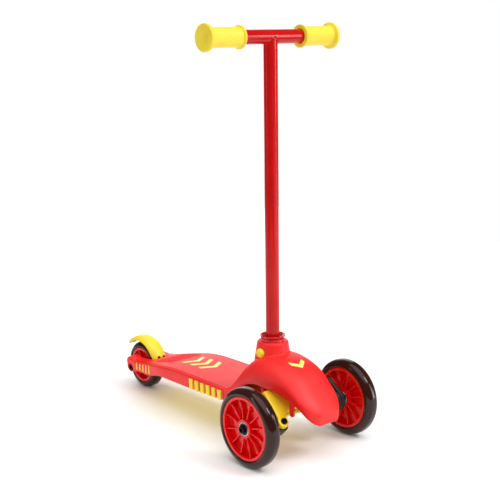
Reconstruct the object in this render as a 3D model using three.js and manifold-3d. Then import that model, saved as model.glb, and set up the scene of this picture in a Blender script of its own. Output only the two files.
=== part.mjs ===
// A child's lean-to-steer scooter: two wheels in front, one behind, a T handlebar that plugs into the nose.
// Millimetres, +Z up, the front points to -Y and the rider's left is +X.
// Pieces are placed in a working frame whose Y = 0 is the front axle; the last group centres the whole.
import * as THREE from "three";
import { mergeVertices } from "three/addons/utils/BufferGeometryUtils.js";
import Module from "manifold-3d";

const wasm = await Module();
wasm.setup();

// Fits shared by all pieces
const gap = 0.3; // between pieces that touch
const overrun = 4; // how far a cutter runs past what it cuts
const sink = 0.6; // how deep joined solids run into each other

// Driving dimensions
const frontWheelR = 63.5;
const rearWheelR = 43.5;
const tyreWidth = 25;
const wheelBase = 425; // front axle to rear axle
const trackHalf = 106.5; // middle of the scooter to the middle of a front wheel
const tubeR = 11.1; // post and crossbar
const tubeWall = 1.6;
const postY = 64;
const barZ = 652; // axis of the crossbar
const barHalf = 131; // middle to the end of a grip
const axleR = 4;
const axleGap = 0.35; // round an axle or a screw that turns

// Body shell
const noseFront = -66;
const noseRear = 120; // the seam between nose and deck
const noseTurn = -30; // where the rounded front of the nose begins
const noseTurnHalf = 42; // half width there
const noseTipHalf = 17; // half width of its flat tip
const noseHeight = 150;
const deckHalf = 60;
const deckFrontZ = 84;
const armZ = 64; // lowest top of the fork arms
const armFall = 3; // from their inner to their outer edge
const armHalf = 38;
const armEnd = 11; // from the rear axle to the end of an arm
const shoulderLong = 145;
const shoulderEnd = 5; // past the rear axle
const shoulderEndY = wheelBase + shoulderEnd;
const shoulderY = shoulderEndY - shoulderLong; // where the deck starts to narrow
const slopeLong = 185;
const slopeY = wheelBase - slopeLong; // where the deck starts to fall
const deckCrown = 2.2;
const wall = 3;
const draft = 1.5;
const sideLowZ = 63; // lower edge of the deck's side at the seam
const sideDrop = 28.5; // how much lower it is under the rear axle
const topDropShares = [
  [0, 0], [0.38, 0], [0.46, 0.03], [0.54, 0.14], [0.62, 0.31], [0.7, 0.52], [0.78, 0.76], [0.84, 0.93],
  [0.89, 1], [0.94, 0.96], [1, 0.76],
];
const sideDropShares = [
  [0, 0], [0.31, 0.09], [0.5, 0.09], [0.6, 0.14], [0.73, 0.53], [0.82, 0.65], [0.9, 0.77], [0.95, 0.95],
  [1, 1],
];

const smooth = (t) => {
  const u = Math.min(Math.max(t, 0), 1);
  return u * u * (3 - 2 * u);
};
const mix = (a, b, t) => a + (b - a) * t;

// Reads a curve through [place share, value share] rows, eased between the rows.
function along(rows, t) {
  const last = rows.length - 1;
  if (t <= rows[0][0]) return rows[0][1];
  if (t >= rows[last][0]) return rows[last][1];
  const slope = (i) => {
    const a = rows[Math.max(i - 1, 0)];
    const b = rows[Math.min(i + 1, last)];
    return (b[1] - a[1]) / (b[0] - a[0]);
  };
  const i = rows.findIndex((row, k) => k < last && t <= rows[k + 1][0]);
  const [t0, v0] = rows[i];
  const [t1, v1] = rows[i + 1];
  const span = t1 - t0;
  const u = (t - t0) / span;
  const u2 = u * u;
  const u3 = u2 * u;
  const start = (2 * u3 - 3 * u2 + 1) * v0 + (u3 - 2 * u2 + u) * span * slope(i);
  const end = (3 * u2 - 2 * u3) * v1 + (u3 - u2) * span * slope(i + 1);
  return start + end;
}

// Solids
function solid(geometry) {
  const bare = geometry.index ? geometry.clone() : geometry;
  bare.deleteAttribute("normal");
  bare.deleteAttribute("uv");
  const merged = mergeVertices(bare, 1e-4);
  return new wasm.Manifold(
    new wasm.Mesh({
      numProp: 3,
      vertProperties: new Float32Array(merged.attributes.position.array),
      triVerts: new Uint32Array(merged.index.array),
    }),
  );
}

function geometryOf(body) {
  const { vertProperties, triVerts, numProp } = body.getMesh();
  const count = vertProperties.length / numProp;
  const points = new Float32Array(count * 3);
  for (let i = 0; i < count; i++)
    for (let k = 0; k < 3; k++) points[i * 3 + k] = vertProperties[i * numProp + k];
  const geometry = new THREE.BufferGeometry();
  geometry.setAttribute("position", new THREE.BufferAttribute(points, 3));
  geometry.setIndex(new THREE.BufferAttribute(new Uint32Array(triVerts), 1));
  const flat = geometry.toNonIndexed();
  flat.computeVertexNormals();
  return flat;
}

const join = (first, ...others) => others.reduce((a, b) => a.add(b), first);
const cut = (first, ...others) => others.reduce((a, b) => a.subtract(b), first);

function block(x0, x1, y0, y1, z0, z1) {
  const box = new THREE.BoxGeometry(x1 - x0, y1 - y0, z1 - z0);
  box.translate((x0 + x1) / 2, (y0 + y1) / 2, (z0 + z1) / 2);
  return solid(box);
}

// A revolved profile of [radius, height] points that starts and ends on the axis or closes on itself.
function lathe(profile, sides) {
  const points = profile.map(([r, h]) => new THREE.Vector2(r, h));
  return new THREE.LatheGeometry(points, sides);
}

// Lays a lathe (made about Y) along an axis; a vertex row points straight down.
function turned(profile, sides, axis) {
  const geometry = lathe(profile, sides);
  if (axis === "x") geometry.rotateZ(-Math.PI / 2);
  if (axis === "z") geometry.rotateX(Math.PI / 2);
  return geometry;
}

function rod(radius, from, to, sides, axis) {
  return turned([[0, from], [radius, from], [radius, to], [0, to]], sides, axis);
}

function ring(inner, outer, from, to, sides, axis) {
  const profile = [[inner, from], [outer, from], [outer, to], [inner, to], [inner, from]];
  return turned(profile, sides, axis);
}

// A prism of an outline of [u, v] points; axis "x" lays u on Y and v on Z, "y" lays u on X and v on Z.
function prism(outline, from, to, axis) {
  const shape = Array.isArray(outline) ? new THREE.Shape(outline.map(([u, v]) => new THREE.Vector2(u, v))) : outline;
  const geometry = new THREE.ExtrudeGeometry(shape, { depth: to - from, bevelEnabled: false, curveSegments: 3 });
  geometry.translate(0, 0, from);
  if (axis === "x") {
    const turn = new THREE.Matrix4().set(0, 0, 1, 0, 1, 0, 0, 0, 0, 1, 0, 0, 0, 0, 0, 1);
    geometry.applyMatrix4(turn);
  }
  if (axis === "y") {
    const turn = new THREE.Matrix4().set(1, 0, 0, 0, 0, 0, -1, 0, 0, 1, 0, 0, 0, 0, 0, 1);
    geometry.applyMatrix4(turn);
    geometry.translate(0, from + to, 0);
  }
  return solid(geometry);
}

// A skin through loops of equal length, closed at both ends.
function loft(loops) {
  const n = loops[0].length;
  const points = [];
  const faces = [];
  loops.forEach((loop) => loop.forEach((p) => points.push(p.x, p.y, p.z)));
  for (let k = 0; k + 1 < loops.length; k++)
    for (let i = 0; i < n; i++) {
      const a = k * n + i;
      const b = k * n + ((i + 1) % n);
      faces.push(a, b, b + n, a, b + n, a + n);
    }
  const cap = (k, last) => {
    const flat = loops[k].map((p) => new THREE.Vector2(p.x, p.z));
    const turn = last !== THREE.ShapeUtils.isClockWise(flat);
    THREE.ShapeUtils.triangulateShape(flat, []).forEach(([a, b, c]) => {
      faces.push(...(turn ? [k * n + a, k * n + b, k * n + c] : [k * n + c, k * n + b, k * n + a]));
    });
  };
  cap(0, false);
  cap(loops.length - 1, true);
  const geometry = new THREE.BufferGeometry();
  geometry.setAttribute("position", new THREE.Float32BufferAttribute(points, 3));
  geometry.setIndex(faces);
  const made = solid(geometry);
  if (made.volume() > 0) return made;
  geometry.setIndex(faces.map((_, i) => faces[i - (i % 3) + [0, 2, 1][i % 3]]));
  return solid(geometry);
}

// Heights and widths of the body, front to rear. Nose rows: share of the nose's length, share of its height.
const crownShares = [
  [0, 0.527], [0.032, 0.587], [0.091, 0.667], [0.15, 0.743], [0.274, 0.883], [0.398, 0.957], [0.522, 0.993],
  [0.597, 1], [0.699, 0.987], [0.796, 0.907], [0.85, 0.82], [0.919, 0.66], [1, 0.575],
];
const creaseShares = [
  [0, 0.5], [0.059, 0.56], [0.124, 0.62], [0.306, 0.753], [0.435, 0.79], [0.624, 0.79], [0.785, 0.7],
  [0.892, 0.61], [1, 0.56],
];
const lowEdgeShares = [
  [0, 0.4], [0.032, 0.427], [0.086, 0.49], [0.14, 0.56], [0.194, 0.6], [0.274, 0.647], [0.409, 0.693],
  [0.57, 0.713], [0.677, 0.707], [0.785, 0.647], [0.892, 0.507], [1, 0.42],
];
const widthShares = [[0, 0], [0.133, 0.222], [0.3, 0.444], [0.533, 0.667], [0.8, 0.889], [1, 1]];

const noseLength = noseRear - noseFront;
const noseShare = (y) => (y - noseFront) / noseLength;
const noseTop = (y) => noseHeight * along(crownShares, noseShare(y));
const noseCrease = (y) => noseHeight * along(creaseShares, noseShare(y));
const noseLow = (y) => noseHeight * along(lowEdgeShares, noseShare(y));
const bluntness = 1.7; // exponent of the rounded front, 2 is an ellipse
function noseHalf(y) {
  if (y > noseTurn) {
    const t = (y - noseTurn) / (noseRear - noseTurn);
    return mix(noseTurnHalf, deckHalf, along(widthShares, t));
  }
  const u = Math.min((noseTurn - y) / (noseTurn - noseFront), 1);
  return mix(noseTipHalf, noseTurnHalf, (1 - u ** bluntness) ** (1 / bluntness));
}

const armTip = wheelBase + armEnd;
const deckHalfAt = (y) => mix(deckHalf, armHalf, smooth((y - shoulderY) / (shoulderEndY - shoulderY)));
const deckShare = (y) => (y - noseRear) / (armTip - noseRear);
const deckTopAt = (y) => mix(deckFrontZ, armZ, along(topDropShares, deckShare(y)));
const deckFallAt = (y) => armFall * smooth((y - shoulderY) / (shoulderEndY - shoulderY));
const deckLowAt = (y) => sideLowZ - sideDrop * along(sideDropShares, deckShare(y));

// Nose
const tongueWidth = 10;
const tongueY = -25;
const tongueZ = 70;
const tongueWall = 4;
const collarTopR = 25.2;
const collarHigh = 18; // above the hood
const collarTopZ = noseHeight + collarHigh;
const collarBaseR = 30;
const collarDeep = 22;
const collarBaseZ = noseHeight - collarDeep;
const collarRound = 3;
const bushR = 14; // bushing outside, below its flange
const socketDeep = 42; // below the hood
const socketFloorZ = noseHeight - socketDeep;
const socketWall = 3;
const ribThick = 2.6;
const noseTopSteps = 5;

// How far the hood has risen from its crease to its crown at a share of its half width.
const roundness = (share) => (1 - share ** 2.7) ** 0.62;

// Height of the nose's outside above a point of its plan.
function noseSkin(x, y) {
  const share = Math.min(Math.abs(x) / noseHalf(y), 1);
  return mix(noseCrease(y), noseTop(y), roundness(share));
}

function noseSection(y, inset, lower) {
  const half = noseHalf(y) - inset;
  const crease = noseCrease(y) - inset;
  const top = noseTop(y) - inset;
  const low = noseLow(y) - lower;
  const points = [[half - draft, low], [half, mix(low, crease, 0.45)]];
  const steps = inset > 0 ? noseTopSteps - 2 : noseTopSteps;
  for (let i = 0; i <= steps; i++) {
    const angle = ((Math.PI / 2) * i) / steps;
    const share = Math.cos(angle);
    points.push([half * share, mix(crease, top, roundness(share))]);
  }
  return points;
}

function sectionLoop(points, y) {
  const right = points.filter(([x]) => x > 1e-9).map(([x, z]) => new THREE.Vector3(x, y, z));
  const middle = points.filter(([x]) => x <= 1e-9).map(([, z]) => new THREE.Vector3(0, y, z));
  const left = [...right].reverse().map((p) => new THREE.Vector3(-p.x, y, p.z));
  return [...right, ...middle, ...left];
}

// Stations close together at the rounded front, then even.
function noseStations(start, end, steps, count) {
  const rounded = [];
  for (let i = 0; i < steps; i++) {
    const share = 1 - Math.cos(((Math.PI / 2) * i) / steps);
    rounded.push(mix(start, noseTurn, share));
  }
  const straight = [];
  for (let i = 0; i <= count; i++) straight.push(mix(noseTurn, end, i / count));
  return [...rounded, ...straight];
}

const buttonR = 8;
const buttonZ = noseHeight + 1;

const bossR = 4.6; // screw posts
const slabTopZ = 78; // top of the yoke's slab, where the screw posts stand
const noseBossX = 29;
const noseBossYs = [54, 100];
const screwCoreR = 1.9;

function noseHousing() {
  const outline = noseStations(noseFront, noseRear - gap / 2, 5, 9);
  const outer = loft(outline.map((y) => sectionLoop(noseSection(y, 0, 0), y)));
  const inside = noseStations(noseFront + wall, noseRear + overrun, 3, 8);
  const inner = loft(inside.map((y) => sectionLoop(noseSection(y, wall, overrun), y)));
  // Posts end inside the wall, under this surface.
  const under = loft(outline.map((y) => sectionLoop(noseSection(y, wall / 2, slabTopZ), y)));
  const floorZ = socketFloorZ + socketWall;
  const collar = solid(turned([
    [bushR + gap, floorZ], [0, floorZ], [0, socketFloorZ], [bushR + socketWall, socketFloorZ],
    [collarBaseR, collarBaseZ], [collarTopR + collarRound / 3, collarTopZ - collarRound],
    [collarTopR - collarRound, collarTopZ], [bushR + gap, collarTopZ], [bushR + gap, floorZ],
  ], 16, "z")).translate([0, postY, 0]);
  const bore = solid(rod(bushR + gap, floorZ, collarTopZ + overrun, 16, "z")).translate([0, postY, 0]);
  const reach = noseTurnHalf - wall;
  const ribTop = noseSkin(reach, postY) - wall / 2;
  const across = block(-reach, reach, postY - ribThick / 2, postY + ribThick / 2, socketFloorZ, ribTop);
  let body = join(cut(outer, inner, bore), across);
  for (const side of [-1, 1]) {
    for (const y of noseBossYs) {
      const post = solid(rod(bossR, slabTopZ + gap, noseTop(y), 6, "z")).translate([side * noseBossX, y, 0]);
      body = body.add(post.intersect(under));
    }
    body = body.add(tongue(side));
  }
  const buttonHole = solid(rod(buttonR + gap, -collarBaseR - overrun, 0, 14, "x"));
  let made = cut(cut(body, bore).add(collar), buttonHole.translate([0, postY, buttonZ]));
  for (const side of [-1, 1])
    for (const y of noseBossYs) {
      const core = solid(rod(screwCoreR + gap, slabTopZ - overrun, slabTopZ + screwLong, 6, "z"));
      made = made.subtract(core.translate([side * noseBossX, y, 0]));
    }
  return made;
}

// A round-ended tongue of the side wall that hangs in front of the yoke.
function tongue(side) {
  const half = noseHalf(tongueY) - draft;
  const shape = new THREE.Shape();
  const r = tongueWidth / 2;
  shape.moveTo(tongueY + r, noseLow(tongueY) + wall * 2);
  shape.lineTo(tongueY - r, noseLow(tongueY) + wall * 2);
  shape.lineTo(tongueY - r, tongueZ + r);
  shape.absarc(tongueY, tongueZ + r, r, Math.PI, 2 * Math.PI, false);
  shape.closePath();
  const body = prism(shape, half - tongueWall, half, "x");
  return side > 0 ? body : body.mirror([1, 0, 0]);
}

// Deck
const slotHalf = 17; // half width of the slot for the rear wheel
const slotClear = 10.5; // from the tyre to the front of the slot
const slotCorner = 2;
const forkBossR = 7; // inside the fork arms, round the axle
const boreR = axleR + axleGap;
const recessR = 7.6; // for the head and the nut of the rear axle
const recessDepth = 4.6;
const bearingWidth = 7;
const bearingR = 11;
const bearingOut = 4.7; // inner face of a bearing from the middle of its wheel
const grooveIn = 5.6; // groove along the deck's edge
const grooveDeep = 1;
const hollowAhead = 12; // of the rear axle
const hollowEnd = wheelBase - hollowAhead;
const notchStart = noseRear + wall;
const notchesLong = 92;
const notchEnd = notchStart + notchesLong;
const notchShare = 0.62; // of the pitch, open
const ribCount = 6;
const ribProud = 1.8; // how far the ribs in the notches stand out of the deck's side
const slotCount = 5;
const slotsLong = 56;
const slotsAhead = 23; // of the rear axle
const slotEnd = wheelBase - slotsAhead;
const slotStart = slotEnd - slotsLong;
const slotWide = 4.4;
const ridgeCount = 7;
const ridgesAhead = 123; // of the rear axle
const ridgeStart = wheelBase - ridgesAhead;
const ridgePitch = 7.2;
const ridgeHalf = 36;
const ridgeWide = 1.6;
const ridgeHigh = 0.8;
const pinR = 1.6;
const pinDrop = 14.5; // brake pin above the rear axle
const pinAhead = 46; // and ahead of it

function deckSection(y, inset, lower) {
  const half = deckHalfAt(y) - inset;
  const top = deckTopAt(y) - inset;
  const crown = deckCrown * (1 - smooth((y - shoulderY) / (shoulderEndY - shoulderY)));
  const seamLift = (noseTop(noseRear) - noseCrease(noseRear)) * (1 - smooth((y - noseRear) / (deckHalf / 2)));
  const peak = Math.max(crown, seamLift);
  const rise = armTip - y < armEnd ? 1 - Math.sqrt(Math.max(0, 1 - (1 - (armTip - y) / armEnd) ** 2)) : 0;
  const round = (rise * (armZ - deckLowAt(armTip))) / 4;
  const low = deckLowAt(y) - lower + round;
  const z = (v) => top + v - round;
  const fall = deckFallAt(y);
  const side = (v) => z(v - fall);
  const edge = grooveIn - grooveDeep * 2;
  const rising = [[half / 2, z(peak * 0.8)], [0, z(peak)]];
  if (inset > 0) return [[half - draft, low], [half, side(-edge)], [half - edge, side(0)], ...rising];
  return [
    [half - draft, low], [half, side(-edge)], [half - edge * 0.3, side(-edge * 0.3)], [half - edge, side(0)],
    [half - grooveIn + grooveDeep * 0.6, side(-grooveDeep)],
    [half - grooveIn - grooveDeep * 0.6, side(-grooveDeep)], [half - grooveIn - grooveDeep * 1.8, side(0)],
    ...rising,
  ];
}

function deckStations(start, end) {
  const straight = 2;
  const curved = 8;
  const list = [];
  for (let i = 0; i < straight; i++) list.push(mix(start, slopeY, i / straight));
  for (let i = 0; i <= curved; i++) list.push(mix(slopeY, Math.min(end, wheelBase), i / curved));
  if (end > wheelBase) {
    const ends = 3;
    for (let i = 1; i <= ends; i++) list.push(mix(wheelBase, end, Math.sin(((Math.PI / 2) * i) / ends)));
  }
  return list;
}

// Stations that the deck's hollow and the tray in it share.
function innerStations(start, end) {
  const steps = 6;
  const list = [start, keelStart, keelStart + keelSlope, keelEnd - keelSlope, keelEnd];
  for (let i = 0; i < steps; i++) list.push(mix(slopeY, hollowEnd, i / steps));
  return [...list.sort((a, b) => a - b), end];
}

// Height of the deck's outside above a point of its plan.
function deckSkin(x, y) {
  const section = deckSection(y, 0, 0);
  const peak = section[section.length - 1][1];
  const [middle, shoulder] = section[section.length - 2];
  const [edge, low] = section[section.length - 3];
  const from = Math.abs(x);
  if (from < middle) return mix(peak, shoulder, from / middle);
  return mix(shoulder, low, (from - middle) / (edge - middle));
}

const notchPitch = (notchEnd - notchStart) / ribCount;
const sideScrewShares = [0.12, 0.53]; // along the tray
const sideScrewIn = 12; // from the side of the deck
const trayStart = noseRear + gap;
const trayScrewYs = sideScrewShares.map((share) => mix(trayStart, hollowEnd, share));
const trayFloor = 2.6;
const deckBossBack = 20; // from the seam
const deckBossYs = [noseRear + deckBossBack];
const deckBossX = 20;
const slabThick = 6;
const tapR = 1.9;

const slotFront = wheelBase - rearWheelR - slotClear;

// The room that the wheel's slot and its walls take out of the deck's hollow.
const slotWalls = (thick) =>
  block(-slotHalf - thick, slotHalf + thick, slotFront - thick, armTip + overrun, -noseHeight, noseHeight);

function deckTop() {
  const skin = (stations, inset, lower) => loft(stations.map((y) => sectionLoop(deckSection(y, inset, lower), y)));
  const outer = skin(deckStations(noseRear + gap / 2, armTip), 0, 0);
  const cavity = skin(innerStations(noseRear - overrun, hollowEnd), wall, overrun * 3);
  const inner = cavity.subtract(slotWalls(wall));
  const slotShape = new THREE.Shape();
  const r = slotCorner;
  slotShape.moveTo(-slotHalf, armTip + overrun);
  slotShape.lineTo(-slotHalf, slotFront + r);
  slotShape.absarc(-slotHalf + r, slotFront + r, r, Math.PI, 1.5 * Math.PI, false);
  slotShape.absarc(slotHalf - r, slotFront + r, r, 1.5 * Math.PI, 2 * Math.PI, false);
  slotShape.lineTo(slotHalf, armTip + overrun);
  slotShape.closePath();
  const through = { depth: noseHeight, bevelEnabled: false, curveSegments: 2 };
  const slot = solid(new THREE.ExtrudeGeometry(slotShape, through));
  let body = cut(outer, inner, slot);
  body = join(body, ...screwPosts(), ...ridges());
  const bosses = [-1, 1].map((side) => {
    const inside = bearingOut + bearingWidth + gap;
    const boss = ring(boreR, forkBossR, Math.min(side * inside, side * (slotHalf + sink)),
      Math.max(side * inside, side * (slotHalf + sink)), 10, "x");
    return solid(boss).translate([0, wheelBase, rearWheelR]);
  });
  body = join(body, ...bosses);
  const bore = solid(rod(boreR, -armHalf - overrun, armHalf + overrun, 10, "x"));
  const recesses = [-1, 1].map((side) => {
    const from = armHalf - recessDepth;
    const to = armHalf + overrun;
    const hole = rod(recessR, Math.min(side * from, side * to), Math.max(side * from, side * to), 10, "x");
    return solid(hole).translate([0, wheelBase, rearWheelR]);
  });
  const pinReach = slotHalf + wall + overrun;
  const pinHole = solid(rod(pinR + gap, -pinReach, pinReach, 10, "x"));
  const pinAt = [0, wheelBase - pinAhead, rearWheelR + pinDrop];
  body = cut(body, bore.translate([0, wheelBase, rearWheelR]), ...recesses, pinHole.translate(pinAt));
  return cut(body, ...notches(), ...rearSlots(), ...screwCores());
}

function screwPosts() {
  const posts = [];
  for (const side of [-1, 1]) {
    for (const y of trayScrewYs) {
      const x = side * (deckHalfAt(y) - sideScrewIn);
      const low = deckLowAt(y) + trayFloor + gap * 2;
      posts.push(solid(rod(bossR, low, deckSkin(x, y) - wall / 2, 6, "z")).translate([x, y, 0]));
    }
    for (const y of deckBossYs) {
      const x = side * deckBossX;
      posts.push(solid(rod(bossR, slabTopZ + gap, deckSkin(x, y) - wall / 2, 6, "z")).translate([x, y, 0]));
    }
  }
  return posts;
}

function screwCores() {
  const cores = [];
  for (const side of [-1, 1]) {
    for (const y of trayScrewYs) {
      const x = side * (deckHalfAt(y) - sideScrewIn);
      const low = deckLowAt(y);
      cores.push(solid(rod(tapR + gap, low, low + screwLong + gap, 6, "z")).translate([x, y, 0]));
    }
    for (const y of deckBossYs) {
      const core = solid(rod(tapR + gap, slabTopZ - overrun, deckTopAt(y) - wall / 2, 6, "z"));
      cores.push(core.translate([side * deckBossX, y, 0]));
    }
  }
  return cores;
}

// Fine traction ridges across the deck, which follow its crown.
function ridges() {
  const steps = 6;
  const list = [];
  for (let k = 0; k < ridgeCount; k++) {
    const y = ridgeStart + k * ridgePitch;
    const xs = [];
    for (let i = 0; i <= steps; i++) xs.push(mix(-ridgeHalf, ridgeHalf, i / steps));
    const up = xs.map((x, i) => [x, deckSkin(x, y) + (i === 0 || i === steps ? -ridgeHigh : ridgeHigh)]);
    const down = [...xs].reverse().map((x) => [x, deckSkin(x, y) - wall / 2]);
    list.push(prism([...up, ...down], y - ridgeWide / 2, y + ridgeWide / 2, "y"));
  }
  return list;
}

// Where the tray's ribs come through the deck's sides: [front, rear] of each.
const notchSpans = Array.from({ length: ribCount }, (_, k) => {
  const middle = notchStart + notchPitch * (k + 0.5);
  return [middle - (notchPitch * notchShare) / 2, middle + (notchPitch * notchShare) / 2];
});

const notchTopAt = (y) => deckTopAt(y) - overrun;

function notches() {
  const inside = deckHalf - wall * 2;
  const list = notchSpans.map(([start, end]) =>
    block(inside, deckHalf + overrun, start, end, deckLowAt(end) - overrun, notchTopAt(end)));
  return [...list, ...list.map((one) => one.mirror([1, 0, 0]))];
}

const slotPlaces = Array.from({ length: slotCount }, (_, k) => mix(slotStart, slotEnd, k / (slotCount - 1)));
const slotLowAt = (y) => deckLowAt(y) + trayFloor + gap * 3;

// Narrow flutes down the curved shoulders, open at the top edge.
function rearSlots() {
  const list = slotPlaces.map((y) =>
    block(deckHalfAt(y + slotWide / 2) - wall - draft, deckHalf + overrun, y - slotWide / 2, y + slotWide / 2,
      slotLowAt(y), noseHeight));
  return [...list, ...list.map((one) => one.mirror([1, 0, 0]))];
}

// Under tray
const keelZ = 52;
const keelHalf = 34;
const keelBack = 20; // from the seam
const keelStart = noseRear + keelBack;
const keelAhead = 119; // of the rear axle
const keelEnd = wheelBase - keelAhead;
const traySideHigh = 16.8;
const keelSlope = 7;
const screwHeadR = 3.6;
const screwHeadHigh = 2;
const screwLong = 14;
const pocketRows = 3;
const pocketGap = 7;
const pocketDeep = 1.4;
const padHalf = 16;

function traySection(y) {
  const outside = deckHalfAt(y) - wall - gap * 2 - draft / 2;
  const low = deckLowAt(y) + gap;
  const fade = Math.min(smooth((y - keelStart) / keelSlope), smooth((keelEnd - y) / keelSlope));
  const keelLow = mix(low, Math.min(keelZ, low), fade);
  const high = Math.min(low + traySideHigh, deckTopAt(y) - deckFallAt(y) - wall - overrun);
  const keel = Math.min(keelHalf, outside - keelSlope * 2);
  return [
    [keel - keelSlope / 2, keelLow], [keel, low], [outside - draft / 2, low], [outside, mix(low, high, 0.5)],
    [outside, high], [outside - trayFloor, high], [outside - trayFloor, low + trayFloor],
    [keel, low + trayFloor], [keel - keelSlope / 2, Math.min(keelLow + trayFloor, low + trayFloor)],
  ];
}

function underTray() {
  const ys = innerStations(trayStart, hollowEnd - gap);
  const loops = ys.map((y) => {
    const section = traySection(y);
    const right = section.map(([x, z]) => new THREE.Vector3(x, y, z));
    const left = [...right].reverse().map((p) => new THREE.Vector3(-p.x, p.y, p.z));
    return [...right, ...left];
  });
  let body = cut(loft(loops), slotWalls(wall + gap));
  const ribs = [];
  for (const [start, end] of notchSpans) {
    const inside = deckHalf - wall - trayFloor;
    const outside = deckHalf + ribProud;
    const low = deckLowAt(start) + gap * 2;
    const top = notchTopAt(end) - gap;
    const outline = [
      [inside, low], [outside - draft / 2, low], [outside, top - ribProud], [outside - ribProud / 2, top],
      [inside, top],
    ];
    const rib = prism(outline, start + gap, end - gap, "y");
    ribs.push(rib, rib.mirror([1, 0, 0]));
  }
  for (const y of slotPlaces) {
    const out = deckHalfAt(y + slotWide / 2) - gap;
    const low = slotLowAt(y) + gap;
    const inside = deckHalfAt(y) - wall - trayFloor;
    const neck = deckHalfAt(y) - wall - gap * 2;
    const top = deckTopAt(y) - deckFallAt(y) - wall;
    const foot = top - grooveIn; // the rib passes under the edge of the deck's top here
    const outline = [[inside, low], [out, low], [out, top], [neck, top], [neck, foot], [inside, foot]];
    const rib = prism(outline, y - slotWide / 2 + gap, y + slotWide / 2 - gap, "y");
    ribs.push(rib, rib.mirror([1, 0, 0]));
  }
  const pads = [];
  const pocketLength = (keelEnd - keelStart - keelSlope * 2 - pocketGap) / pocketRows;
  for (let k = 0; k < pocketRows; k++) {
    const y0 = keelStart + keelSlope + pocketGap + k * pocketLength;
    const y1 = y0 + pocketLength - pocketGap;
    const one = block(padHalf, keelHalf - pocketGap, y0, y1, keelZ - overrun, keelZ + pocketDeep);
    pads.push(one, one.mirror([1, 0, 0]));
  }
  body = join(body, ...ribs);
  const holes = [];
  for (const side of [-1, 1])
    for (const y of trayScrewYs) {
      const x = side * (deckHalfAt(y) - sideScrewIn);
      const low = deckLowAt(y) + gap;
      const hole = solid(rod(tapR + gap, low - overrun, low + trayFloor + overrun, 6, "z"));
      holes.push(hole.translate([x, y, 0]));
    }
  return cut(body, ...pads, ...holes);
}

// A pan-head screw, head down, its shank pointing up from z = 0.
function panScrew(headR, headHigh, coreR, length, sides) {
  return turned([
    [0, -headHigh], [headR * 0.75, -headHigh], [headR, 0], [coreR, 0], [coreR, length], [0, length],
  ], sides, "z");
}

// Steering: all of it lies in a frame tilted with the pivots. Its Y runs down and back along the pivots,
// its Z up and back, square to them, and its origin is on the pivots' plane, half way through the knuckles.
const tilt = Math.PI / 4;
const pivotX = 52;
const pivotY = -7.4; // the tilted frame's origin
const pivotZ = 52.9;
const eyeHalf = 8; // half the length of a knuckle's eye
const eyeR = 12.5;
const plateThick = 8;
const plateLobeR = 9.2;
const legHalf = 6;
const plateTop = 57;
const webLow = 50;
const archTop = 16;
const pivotR = 3.2;
const stopX = 28;
const stopThick = 3.5;
const stopLow = 20;
const stopHigh = 31;
const armReach = 40; // pivot to tie rod pin
const armOut = 0; // tie rod pin outboard of the pivot
const tieR = 3;
const tieHalf = 5;
const lugR = 7;
const bossAxleR = 14.5;
const flangeX = 79; // wheel-side plate of a knuckle
const flangeThick = 7;
const bossStart = 68.5; // inner end of its axle boss, clear of the yoke at full lock
const flangeTop = 51;
const flangeR = 18.5; // its round part, about the axle
const flangeTopR = 9;
const flangeShift = 4; // of its top towards the front
const neckR = 8;
const spacerR = 6;
const springR = 4.2;
const springWire = 0.9;
const springTurns = 4;
const fingerHalf = 4;
const fingerLow = 21;
const springZ = 26.5;
const slabHalf = 37;
const slabStart = 30;
const slabEnd = 152;
const railHigh = 5;
const railThick = 4;

const axleLocal = (() => {
  const up = frontWheelR - pivotZ;
  const back = -pivotY;
  return {
    y: back * Math.cos(tilt) - up * Math.sin(tilt),
    z: back * Math.sin(tilt) + up * Math.cos(tilt),
  };
})();

// Turns a solid made in the tilted frame into the working frame.
const tilted = (body) => body.rotate([(-tilt * 180) / Math.PI, 0, 0]).translate([0, pivotY, pivotZ]);

function yokePlate(from, to) {
  const shape = new THREE.Shape();
  const out = pivotX + legHalf;
  const lobe = plateLobeR;
  const inner = pivotX - lobe;
  shape.moveTo(out, plateTop);
  shape.lineTo(-out, plateTop);
  shape.lineTo(-out, lobe);
  shape.absarc(-pivotX, 0, lobe, Math.PI * 0.78, Math.PI * 2, false);
  shape.quadraticCurveTo(-inner, archTop, -inner / 2, archTop);
  shape.lineTo(inner / 2, archTop);
  shape.quadraticCurveTo(inner, archTop, inner, 0);
  shape.absarc(pivotX, 0, lobe, Math.PI, Math.PI * 2.22, false);
  shape.lineTo(out, lobe);
  shape.closePath();
  return prism(shape, from, to, "y");
}

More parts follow.
